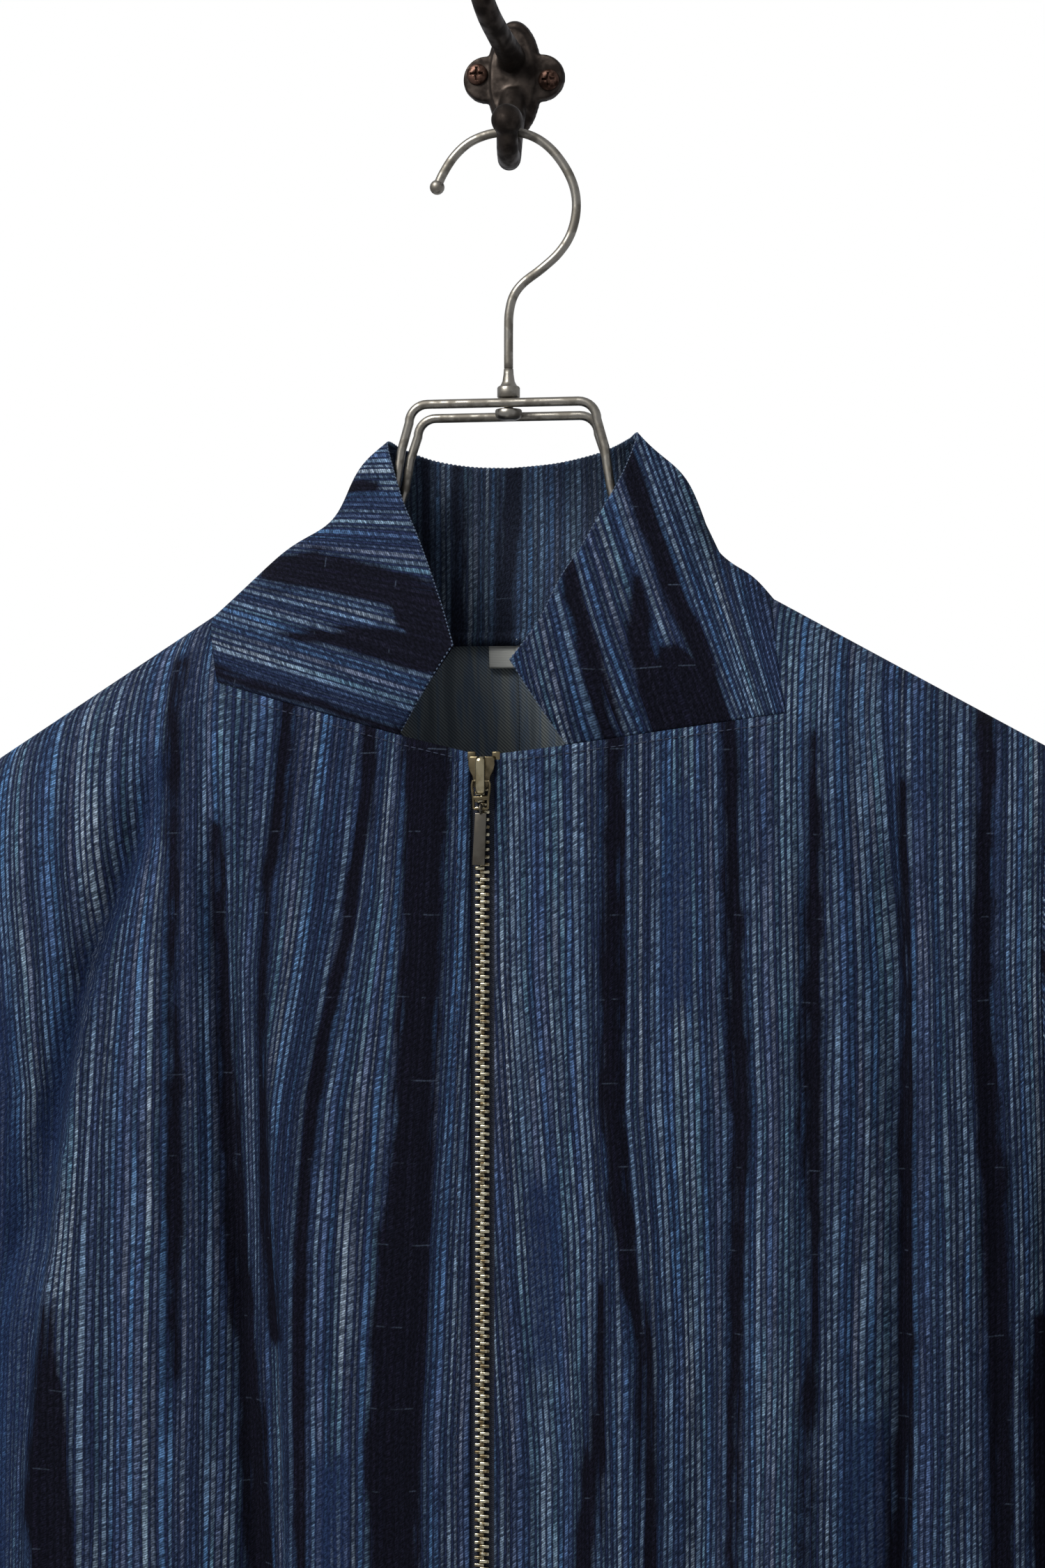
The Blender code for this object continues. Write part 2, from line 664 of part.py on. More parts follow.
def front_y(z):
    """Outer surface of the cloth at the zip."""
    x = ZIP_OPENING / 2
    return body_point(LEFT, FRONT, x, z, edge_x(LEFT, z)).y


def tape_sheet(side):
    back_off = CLOTH + SEAM_GAP
    rows = []
    for row in range(ZIP_ROWS + 1):
        z = mix(ZIP_TOP_Z - TAPE_TOP_DROP, HEM_Z + TAPE_HEM_GAP, row / ZIP_ROWS)
        y = front_y(z) + back_off
        rows.append([Vector((CENTRE_X + side * TAPE_INNER_X, y, z)),
                     Vector((CENTRE_X + side * ZIP_OPENING / 2, y, z)),
                     Vector((CENTRE_X + side * TAPE_WIDTH, y + TAPE_SET_BACK, z))])
    return make_sheet("zip_tape_" + ("left" if side == LEFT else "right"), rows, -side)


def chain_sheet():
    rows = []
    for row in range(ZIP_ROWS + 1):
        z = mix(CHAIN_TOP_Z, CHAIN_END_Z, row / ZIP_ROWS)
        y = front_y(z) + CLOTH - CHAIN_THICK
        rows.append([Vector((CENTRE_X + x, y, z)) for x in (-CHAIN_WIDTH / 2, 0, CHAIN_WIDTH / 2)])
    return make_sheet("zip_chain", rows, -1)


# Hard pieces

def joined(name, pieces, material):
    """One closed body from overlapping solids."""
    base = pieces[0]
    for piece in pieces[1:]:
        cut = base.modifiers.new("join", "BOOLEAN")
        cut.operation = "UNION"
        cut.solver = "EXACT"
        cut.object = piece
        cut.use_hole_tolerant = True
        bake(base)
        bpy.data.objects.remove(piece)
    base.name = name
    base.data.materials.clear()
    base.data.materials.append(material)
    return base


def cut_away(base, tools):
    for tool in tools:
        cut = base.modifiers.new("cut", "BOOLEAN")
        cut.operation = "DIFFERENCE"
        cut.solver = "EXACT"
        cut.object = tool
        bake(base)
        bpy.data.objects.remove(tool)
    return base


def bake(thing):
    """Turn an object's modifiers or curve into its plain mesh."""
    graph = bpy.context.evaluated_depsgraph_get()
    mesh = bpy.data.meshes.new_from_object(thing.evaluated_get(graph))
    shape = bmesh.new()
    shape.from_mesh(mesh)
    bmesh.ops.remove_doubles(shape, verts=shape.verts, dist=WELD)
    bmesh.ops.dissolve_degenerate(shape, edges=shape.edges, dist=WELD)
    shape.to_mesh(mesh)
    shape.free()
    thing.modifiers.clear()
    thing.data = mesh


def box(name, low, high, material, bevel=0.0):
    """A block between two corners."""
    low = Vector(low)
    high = Vector(high)
    bpy.ops.mesh.primitive_cube_add(size=1, location=(low + high) / 2 * MM)
    block = bpy.context.object
    block.name = name
    block.dimensions = (high - low) * MM
    bpy.ops.object.transform_apply(location=True, rotation=True, scale=True)
    if bevel:
        soften = block.modifiers.new("soften", "BEVEL")
        soften.width = bevel * MM
        soften.segments = 2
        bake(block)
    return claim(block, material)


def claim(thing, material):
    """Move an object that an operator made into the jacket's collection."""
    for collection in list(thing.users_collection):
        collection.objects.unlink(thing)
    jacket.objects.link(thing)
    thing.data.materials.clear()
    thing.data.materials.append(material)
    return thing


def rod(name, points, radius, material, sides=3, radii=None):
    """A round wire through points, with closed ends."""
    curve = bpy.data.curves.new(name, "CURVE")
    curve.dimensions = "3D"
    curve.bevel_depth = radius * MM
    curve.bevel_resolution = sides
    curve.use_fill_caps = True
    spline = curve.splines.new("POLY")
    spline.points.add(len(points) - 1)
    for index, point in enumerate(points):
        spline.points[index].co = (*(Vector(point) * MM), 1.0)
        spline.points[index].radius = radii[index] if radii else 1.0
    wire = bpy.data.objects.new(name, curve)
    jacket.objects.link(wire)
    bpy.context.view_layer.update()
    graph = bpy.context.evaluated_depsgraph_get()
    mesh = bpy.data.meshes.new_from_object(wire.evaluated_get(graph))
    bpy.data.objects.remove(wire)
    solid = make_object(name, mesh, material)
    bake(solid)
    return solid


def ball(name, centre, radius, material, segments=16):
    bpy.ops.mesh.primitive_uv_sphere_add(segments=segments, ring_count=segments // 2,
                                         radius=radius * MM, location=Vector(centre) * MM)
    sphere = bpy.context.object
    sphere.name = name
    bpy.ops.object.transform_apply(location=True, rotation=True, scale=True)
    return claim(sphere, material)


def turned(name, profile, centre, material, steps=16):
    """A solid of revolution about a vertical line; profile is (radius, height) pairs."""
    mesh = bpy.data.meshes.new(name)
    shape = bmesh.new()
    verts = [shape.verts.new(Vector((r, 0, z)) * MM) for r, z in profile]
    for start, end in zip(verts, verts[1:]):
        shape.edges.new((start, end))
    shape.to_mesh(mesh)
    shape.free()
    thing = make_object(name, mesh, material)
    spin = thing.modifiers.new("turn", "SCREW")
    spin.axis = "Z"
    spin.steps = steps
    spin.render_steps = steps
    spin.use_merge_vertices = True
    spin.merge_threshold = 0.00001
    spin.use_normal_calculate = True
    bpy.context.view_layer.update()
    bake(thing)
    thing.data.transform(Matrix.Translation(Vector(centre) * MM))
    fix_outside(thing)
    return thing


def fix_outside(thing):
    shape = bmesh.new()
    shape.from_mesh(thing.data)
    bmesh.ops.recalc_face_normals(shape, faces=shape.faces)
    shape.to_mesh(thing.data)
    shape.free()


def smooth_path(points, steps):
    """Evenly weighted smooth curve through points chosen by hand."""
    count = (len(points) - 1) * steps
    return [edge_at(points, index / count) for index in range(count + 1)]


# Wire hanger

def hanger_wire(face, material):
    """One wire: down a shoulder, across the bar under the hook and down the other."""
    y = FRONT_WIRE_Y if face == FRONT else BACK_WIRE_Y
    halves = []
    for side in (LEFT, RIGHT):
        half = []
        for step in range(CORNER_STEPS + 1):
            angle = math.pi / 2 * step / CORNER_STEPS
            x = BAR_HALF[face] - CORNER + CORNER * math.sin(angle)
            z = BAR_Z[face] - CORNER + CORNER * math.cos(angle)
            half.append((x, y, z))
        half.append(((BAR_HALF[face] + LEG_LOW_X[face]) / 2, y, (BAR_Z[face] + LEG_LOW_Z) / 2))
        half.append((LEG_LOW_X[face], mix(y, ARM_SPREAD[face], LEG_SPREAD), LEG_LOW_Z))
        half.append((LEG_LOW_X[face] + BEND_SIZE[0], mix(y, ARM_SPREAD[face], BEND_SPREAD),
                     LEG_LOW_Z - BEND_SIZE[1]))
        for step in range(ARM_STEPS + 1):
            x = mix(ARM_START_X, ARM_END_X - END_BEND, step / ARM_STEPS)
            half.append((x, ARM_SPREAD[face], shoulder_z(side, x) - ARM_DROP))
        x = ARM_END_X
        half.append((x, ARM_END_Y[face], shoulder_z(side, x) - ARM_DROP))
        halves.append([(CENTRE_X + side * x, y, z) for x, y, z in half])
    path = halves[0][::-1] + halves[1]
    return rod("hanger_wire_" + ("front" if face == FRONT else "back"), path, WIRE, material, 2)


def hanger_hook(material):
    points = [(CENTRE_X + HOOK_X + x, HOOK_Y, z) for x, z in HOOK_POINTS]
    wire = rod("hook_wire", points, WIRE, material, 3)
    tip = ball("hook_tip", Vector(points[0]), HOOK_BALL, material, 14)
    return joined("hanger_hook", [wire, tip], material)


def hanger_ferrule(material):
    """Collar, nut, shank and rivet head that clamp the hook between the two wires."""
    return turned("hanger_ferrule", FERRULE, (CENTRE_X + HOOK_X, HOOK_Y, 0), material, 18)


# Wall hook: one casting of plate, upper arm and lower arm, held by two screws

def slab(centre_x, half_wide, half_tall, thick, into_wall, material):
    """An upright oval slab that runs a little into the wall, to be cut flush with it."""
    depth = thick + into_wall
    bpy.ops.mesh.primitive_cylinder_add(
        vertices=SLAB_SIDES, radius=1.0, depth=depth * MM,
        location=Vector((centre_x, depth / 2 - thick, 0)) * MM, rotation=(math.pi / 2, 0, 0))
    disc = bpy.context.object
    disc.scale = (half_wide * MM, half_tall * MM, 1.0)
    bpy.ops.object.transform_apply(location=True, rotation=True, scale=True)
    soften = disc.modifiers.new("soften", "BEVEL")
    soften.width = PLATE_ROUND * MM
    soften.segments = 1
    soften.limit_method = "ANGLE"
    bake(disc)
    return claim(disc, material)


def arm(name, points, radii, material):
    path = smooth_path(points, 2)
    sizes = [along(radii, index / (len(path) - 1)) for index in range(len(path))]
    return rod(name, path, 1.0, material, 2, sizes)


def wall_hook(material):
    pieces = [slab(*sizes, material) for sizes in PLATE_SLABS]
    pieces.append(arm("lower_arm", LOWER_ARM, LOWER_RADIUS, material))
    pieces.append(arm("upper_arm", UPPER_ARM, UPPER_RADIUS, material))
    pieces.append(ball("lower_ball", LOWER_BALL, BALL_RADIUS, material, 14))
    pieces.append(ball("upper_ball", UPPER_BALL, BALL_RADIUS, material, 14))
    casting = joined("wall_hook", pieces, material)
    return cut_away(casting, [box("room", *WALL_ROOM, material)])


def screw(side, material):
    """Round screw head with a cross recess, on the plate's lobe."""
    base_y = -PLATE_THICK - SEAM_GAP
    bpy.ops.mesh.primitive_cylinder_add(
        vertices=20, radius=SCREW_RADIUS * MM, depth=SCREW_TALL * MM,
        location=Vector((side * SCREW_X, base_y - SCREW_TALL / 2, SCREW_Z[side])) * MM,
        rotation=(math.pi / 2, 0, 0))
    head = bpy.context.object
    bpy.ops.object.transform_apply(location=True, rotation=True, scale=True)
    soften = head.modifiers.new("soften", "BEVEL")
    soften.width = SCREW_ROUND * MM
    soften.segments = 2
    soften.limit_method = "ANGLE"
    bake(head)
    head.name = "screw_" + ("left" if side == LEFT else "right")
    claim(head, material)
    front = base_y - SCREW_TALL
    x = side * SCREW_X
    z = SCREW_Z[side]
    bars = []
    for half_wide, half_tall in ((RECESS_HALF_LONG, RECESS / 2), (RECESS / 2, RECESS_HALF_LONG)):
        bars.append(box("slot", (x - half_wide, front - 1, z - half_tall),
                        (x + half_wide, front + RECESS, z + half_tall), material))
    return cut_away(head, bars)


# Zip metal

def slider(material):
    """Tapered slider plate with the bridge that holds the pull."""
    plate_back = front_y(SLIDER_TOP_Z) - SLIDER_STAND_OFF - SEAM_GAP
    plate_front = plate_back - SLIDER_PLATE
    low_z = SLIDER_TOP_Z - SLIDER_TALL
    plate = box("plate", (CENTRE_X - SLIDER_TOP_WIDE / 2, plate_front, low_z),
                (CENTRE_X + SLIDER_TOP_WIDE / 2, plate_back, SLIDER_TOP_Z), material)
    for vertex in plate.data.vertices:
        if vertex.co.z < (low_z + 1) * MM:
            offset = vertex.co.x - CENTRE_X * MM
            vertex.co.x = CENTRE_X * MM + offset * SLIDER_LOW_WIDE / SLIDER_TOP_WIDE
    soften = plate.modifiers.new("soften", "BEVEL")
    soften.width = SLIDER_ROUND * MM
    soften.segments = 2
    bake(plate)
    outer = box("arch", (CENTRE_X - BRIDGE_WIDE / 2, plate_front - BRIDGE_REACH, BRIDGE_LOW_Z),
                (CENTRE_X + BRIDGE_WIDE / 2, plate_front + 0.5, BRIDGE_TOP_Z), material, 0.5)
    hollow = box("hollow", (CENTRE_X - BRIDGE_WIDE, plate_front - BRIDGE_REACH + BRIDGE_THICK,
                            BRIDGE_LOW_Z + BRIDGE_THICK),
                 (CENTRE_X + BRIDGE_WIDE, plate_front, BRIDGE_TOP_Z - BRIDGE_THICK), material)
    cut_away(outer, [hollow])
    foot = box("foot", (CENTRE_X - BRIDGE_WIDE / 2, plate_front, BRIDGE_LOW_Z),
               (CENTRE_X + BRIDGE_WIDE / 2, plate_back, low_z + 0.5), material)
    return joined("zip_slider", [plate, outer, foot], material), plate_front


def pull_link(plate_front, material):
    """Two-window link whose top bar runs behind the slider's bridge."""
    back = plate_front - SEAM_GAP
    front = back - LINK_BAR
    top = LINK_AXIS_Z + LINK_BAR / 2
    frame = box("zip_pull_link", (CENTRE_X - LINK_WIDE / 2, front, LINK_LOW_Z),
                (CENTRE_X + LINK_WIDE / 2, back, top), material, 0.3)
    windows = []
    for high, low in ((top - LINK_BAR, LINK_MID_Z), (LINK_MID_Z - LINK_BAR, LINK_LOW_Z + LINK_BAR)):
        windows.append(box("window", (CENTRE_X - LINK_WINDOW / 2, front - 1, low),
                           (CENTRE_X + LINK_WINDOW / 2, back + 1, high), material))
    cut_away(frame, windows)
    set_axis(frame, Vector((CENTRE_X, (front + back) / 2, LINK_AXIS_Z)))
    return frame, (front + back) / 2


def pull_tab(link_y, material):
    """Flat pull hung on the link's lowest bar by a small ring."""
    axis_z = LINK_LOW_Z + LINK_BAR / 2
    bpy.ops.mesh.primitive_torus_add(
        location=Vector((CENTRE_X, link_y, axis_z)) * MM, rotation=(0, math.pi / 2, 0),
        major_radius=TAB_RING * MM, minor_radius=TAB_RING_WIRE * MM,
        major_segments=TAB_RING_STEPS, minor_segments=8)
    loop = bpy.context.object
    bpy.ops.object.transform_apply(location=True, rotation=True, scale=True)
    claim(loop, material)
    top = axis_z - TAB_RING + 0.1
    plate = box("plate", (CENTRE_X - TAB_WIDE / 2, link_y - TAB_THICK / 2, top - TAB_TALL),
                (CENTRE_X + TAB_WIDE / 2, link_y + TAB_THICK / 2, top), material, 0.4)
    tab = joined("zip_pull_tab", [plate, loop], material)
    set_axis(tab, Vector((CENTRE_X, link_y, axis_z)))
    return tab


def set_axis(thing, centre):
    """Put an object's origin on its joint's axis."""
    thing.data.transform(Matrix.Translation(-centre * MM))
    thing.location = centre * MM


def zip_metal(material):
    body, plate_front = slider(material)
    link, link_y = pull_link(plate_front, material)
    pull_tab(link_y, material)
    for side in (LEFT, RIGHT):
        y = front_y(ZIP_TOP_Z) + CLOTH
        x = CENTRE_X + side * STOP_X
        low_z = ZIP_TOP_Z + STOP_LIFT
        box("zip_stop_" + ("left" if side == LEFT else "right"),
            (x - STOP_SIZE[0] / 2, y - STOP_SIZE[1], low_z),
            (x + STOP_SIZE[0] / 2, y, low_z + STOP_SIZE[2]), material, 0.4)
    y = front_y(CHAIN_END_Z) + CLOTH
    wide, deep, tall = RETAINER_SIZE
    box("zip_retainer", (CENTRE_X - wide / 2, y - deep, CHAIN_END_Z - SEAM_GAP - tall),
        (CENTRE_X + wide / 2, y, CHAIN_END_Z - SEAM_GAP), material, 0.5)


# Label sewn inside the back, below the collar seam

def label_sheet():
    rows = []
    for row in range(3):
        z = mix(LABEL_TOP_Z, LABEL_LOW_Z, row / 2)
        line = []
        for column in range(5):
            x = mix(-LABEL_HALF_WIDE, LABEL_HALF_WIDE, column / 4)
            side = LEFT if x < 0 else RIGHT
            skin = body_point(side, BACK, abs(x), z, edge_x(side, z))
            line.append(Vector((CENTRE_X + x, skin.y - CLOTH - LABEL_SEAT - LABEL_THICK, z)))
        rows.append(line)
    return make_sheet("label", rows, -1)


# Materials

def principled(name, colour, roughness, metallic=0.0):
    material = bpy.data.materials.new(name)
    material.use_nodes = True
    shader = material.node_tree.nodes["Principled BSDF"]
    shader.inputs["Base Color"].default_value = (*colour, 1.0)
    shader.inputs["Roughness"].default_value = roughness
    shader.inputs["Metallic"].default_value = metallic
    material.diffuse_color = (*colour, 1.0)
    return material


# Assembly

def start_scene():
    for thing in list(bpy.data.objects):
        bpy.data.objects.remove(thing, do_unlink=True)
    collection = bpy.data.collections.new("Striped zip jacket")
    bpy.context.scene.collection.children.link(collection)
    return collection


def build_cloth(cloth, tape, label):
    """Lay out every panel as points first, so that seams can share their directions."""
    panels = {(side, face): panel_points(side, face)
              for side in (LEFT, RIGHT) for face in (FRONT, BACK)}
    sheets = []
    for (side, face), points in panels.items():
        name = ("front" if face == FRONT else "back") + ("_left" if side == LEFT else "_right")
        sheets.append(make_sheet(name, points, side * face))
    for side in (LEFT, RIGHT):
        points = sleeve_points(side, panels[side, FRONT], panels[side, BACK])
        name = "sleeve_left" if side == LEFT else "sleeve_right"
        sheets.append(make_sheet(name, points, side, ring=True))
    sheets += collar_sheets(panels)
    share_normals(sheets)
    for sheet in sheets:
        build_wall(sheet, cloth)
    for side in (LEFT, RIGHT):
        build_wall(tape_sheet(side), tape, TAPE_THICK)
    build_wall(label_sheet(), label, LABEL_THICK)


jacket = start_scene()
cloth_material = principled("indigo_twill", (0.028, 0.045, 0.085), 0.9)
tape_material = principled("zip_tape", (0.012, 0.014, 0.024), 0.85)
label_material = principled("label_cloth", (0.6, 0.62, 0.58), 0.8)
brass_material = principled("aged_brass", (0.34, 0.29, 0.19), 0.4, 1.0)
wire_material = principled("steel_wire", (0.42, 0.41, 0.37), 0.35, 1.0)
iron_material = principled("cast_iron", (0.03, 0.026, 0.024), 0.55, 0.6)

build_cloth(cloth_material, tape_material, label_material)
build_wall(chain_sheet(), brass_material, CHAIN_THICK)
zip_metal(brass_material)
hanger_wire(FRONT, wire_material)
hanger_wire(BACK, wire_material)
hanger_hook(wire_material)
hanger_ferrule(wire_material)
wall_hook(iron_material)
for hook_side in (LEFT, RIGHT):
    screw(hook_side, iron_material)
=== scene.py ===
# %% [markdown]
# # A striped cotton zip jacket on a wire hanger
# The solids of the jacket come in as a fixed frame. Each cloth panel is then drawn again
# as a fine sheet on the same form, with its creases, and dressed in a striped indigo
# twill. The zip, the hanger and the cast hook get their real small shapes. All lengths
# are in millimetres until a point is written into a mesh.

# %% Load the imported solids
import math

import bmesh
import bpy
import numpy as np
from mathutils import Matrix, Vector, kdtree


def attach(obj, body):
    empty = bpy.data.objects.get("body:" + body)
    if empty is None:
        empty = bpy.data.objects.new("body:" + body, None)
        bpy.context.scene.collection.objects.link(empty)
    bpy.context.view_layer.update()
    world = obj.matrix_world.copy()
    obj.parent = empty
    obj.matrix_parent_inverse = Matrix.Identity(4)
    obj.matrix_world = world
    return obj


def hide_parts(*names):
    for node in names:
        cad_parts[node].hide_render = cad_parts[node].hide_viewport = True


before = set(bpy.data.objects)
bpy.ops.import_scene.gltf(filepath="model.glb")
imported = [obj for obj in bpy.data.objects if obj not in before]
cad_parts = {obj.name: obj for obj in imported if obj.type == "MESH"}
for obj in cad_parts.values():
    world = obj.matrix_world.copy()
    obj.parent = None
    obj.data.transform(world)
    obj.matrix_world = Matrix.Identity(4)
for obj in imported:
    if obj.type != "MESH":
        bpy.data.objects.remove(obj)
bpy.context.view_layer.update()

MM = 0.001
BODY = "garment_and_hook"

# %% [markdown]
# ## The eye
# The viewer stands a little to the right of the jacket and level with its chest, so the
# camera is turned nine and a half degrees about the upright axis. The lens is long
# enough to leave the shoulders nearly free of perspective.

# %% Camera
EYE_PLACE = (208.957, -1228.543, -296.0)
EYE_TURN = 9.5            # degrees
eye = bpy.data.cameras.new("eye")
eye.lens = 68.08
eye.sensor_width = 36.0
eye.clip_start = 0.05
eye_object = bpy.data.objects.new("eye", eye)
eye_object.location = Vector(EYE_PLACE) * MM
eye_object.rotation_euler = (math.radians(90.0), 0.0, math.radians(EYE_TURN))
bpy.context.scene.collection.objects.link(eye_object)
bpy.context.scene.camera = eye_object
print("camera at", [round(v, 3) for v in eye_object.location])

# %% [markdown]
# ## Colours and nodes
# Paint and dye are read as the eye sees them, in sRGB, and Blender mixes light in
# linear values, so one function turns a hex colour into linear numbers. One more
# function adds a shader node, sets its values and joins its inputs.

# %% Colour and node helpers
def linear(hex_colour):
    """Linear RGBA from an sRGB hex colour."""
    values = []
    for place in (1, 3, 5):
        value = int(hex_colour[place:place + 2], 16) / 255.0
        values.append(value / 12.92 if value <= 0.04045 else ((value + 0.055) / 1.055) ** 2.4)
    return (*values, 1.0)


def put(tree, kind, inputs=None, out=0, **settings):
    """Add a node, set it up, join or fill its inputs and give back one of its outputs."""
    made = tree.nodes.new("ShaderNode" + kind)
    for name, value in settings.items():
        setattr(made, name, value)
    for name, value in (inputs or {}).items():
        if isinstance(value, bpy.types.NodeSocket):
            tree.links.new(value, made.inputs[name])
        else:
            made.inputs[name].default_value = value
    return made.outputs[out] if made.outputs else made


def new_material(name, roughness, metallic=0.0):
    """A material with one Principled shader, its tree and the shader."""
    material = bpy.data.materials.new(name)
    material.use_nodes = True
    shader = material.node_tree.nodes["Principled BSDF"]
    shader.inputs["Roughness"].default_value = roughness
    shader.inputs["Metallic"].default_value = metallic
    return material, material.node_tree, shader


print("white as linear:", linear("#ffffff"))

# %% [markdown]
# ## Light and floor
# The jacket hangs before a bright white wall in soft daylight. A white sky gives the even
# light, and one large lamp from the upper left gives the folds their shade. The lamp and
# the floor are placed in metres.

# %% Sky, lamp and floor
SKY_LIGHT = 0.47
sky = bpy.data.worlds.new("white_sky")
sky.use_nodes = True
sky_tree = sky.node_tree
sky_tree.nodes.clear()
seen = put(sky_tree, "LightPath", out="Is Camera Ray")
even = put(sky_tree, "Background", {"Color": linear("#f4f7ff"), "Strength": SKY_LIGHT})
white = put(sky_tree, "Background", {"Color": linear("#ffffff"), "Strength": 1.0})
both = put(sky_tree, "MixShader", {0: seen, 1: even, 2: white})
put(sky_tree, "OutputWorld", {"Surface": both})
bpy.context.scene.world = sky
bpy.context.scene.view_settings.view_transform = "Standard"


def soft_lamp(name, place, aim, size, power):
    """A square lamp that looks at a point."""
    lamp = bpy.data.lights.new(name, "AREA")
    lamp.shape = "SQUARE"
    lamp.size = size
    lamp.energy = power
    holder = bpy.data.objects.new(name, lamp)
    holder.location = place
    holder.rotation_euler = (Vector(aim) - Vector(place)).to_track_quat("-Z", "Y").to_euler()
    bpy.context.scene.collection.objects.link(holder)


soft_lamp("window", (-0.8, -1.2, 0.95), (0.0, -0.1, -0.4), 0.8, 36.0)

FLOOR_RADIUS = 0.62
FLOOR_THICK = 0.02
FLOOR_MIDDLE = (0.0, -0.06, -1.02)
bpy.ops.mesh.primitive_cylinder_add(vertices=96, radius=FLOOR_RADIUS, depth=FLOOR_THICK,
                                    location=FLOOR_MIDDLE)
floor = bpy.context.object
floor.name = "pale_floor"
floor_material, _, floor_shader = new_material("pale_painted_floor", 0.7)
floor_shader.inputs["Base Color"].default_value = linear("#e2e2df")
floor.data.materials.append(floor_material)
print("sky strength", SKY_LIGHT, "floor top at", FLOOR_MIDDLE[2] + FLOOR_THICK / 2, "m")

# %% [markdown]
# ## The jacket's form
# The body is a flattened oval that hangs from two straight shoulder lines. Every panel is
# a grid of points on that one form, so neighbours meet along their seams. These are the
# same sizes as the solids have, and only the grid is finer.

# %% Sizes of the form
LEFT, RIGHT, FRONT, BACK = -1, 1, -1, 1
CENTRE_X = 4.0
HANGER_Y = -50.0
CLOTH = 1.6
SEAM_GAP = 0.12
CURVED_GAP = 0.2
UNDERARM_GAP = 0.5
ALLOWANCE = 5.0           # cloth folded in behind a seam
HEM_Z = -825.0
UNDERARM_Z = -470.0
ARMHOLE_MID_Z = -375.0
FRONT_DEPTH = 48.0
BACK_DEPTH = 40.0
HEM_FLARE = 4.0
SHOULDER_DROP = 75.0
FLATNESS = 3.0
ARMHOLE_OPEN = 0.74
SHOULDER_X = 217.0
ARMHOLE_CURVE = 5.0
SIDE_X = 220.0
HEM_SIDE_X = 223.0
SHOULDER_START_X = 115.0
SHOULDER_START_Z = {LEFT: -224.5, RIGHT: -225.8}
SHOULDER_SLOPE = {LEFT: 0.63, RIGHT: 0.55}
NECK_SIDE_X = 66.0
NOTCH_TOP_X = {LEFT: 118.8, RIGHT: 109.2}
NOTCH_LOW_X = {LEFT: 108.7, RIGHT: 117.3}
NOTCH_Z = {LEFT: -255.8, RIGHT: -268.9}
COLLAR_END_X = 33.0
COLLAR_END_Z = {LEFT: -277.0, RIGHT: -281.0}
ZIP_TOP_Z = -285.0
BACK_NECK_Z = -234.0
ZIP_OPENING = 9.5

FINER = 8
YOKE_ROWS = 4 * FINER
BACK_YOKE_ROWS = 2 * FINER
ARM_ROWS = 6 * FINER
BODY_ROWS = 12 * FINER
NECK_COLUMNS = 2 * FINER
CHEST_COLUMNS = 6 * FINER
OUTER_COLUMNS = 7 * FINER
SLEEVE_ROWS = 102
COLLAR_ROWS = 7 * FINER
print("grid of a front:", YOKE_ROWS + ARM_ROWS + BODY_ROWS, "x",
      NECK_COLUMNS + CHEST_COLUMNS + OUTER_COLUMNS)
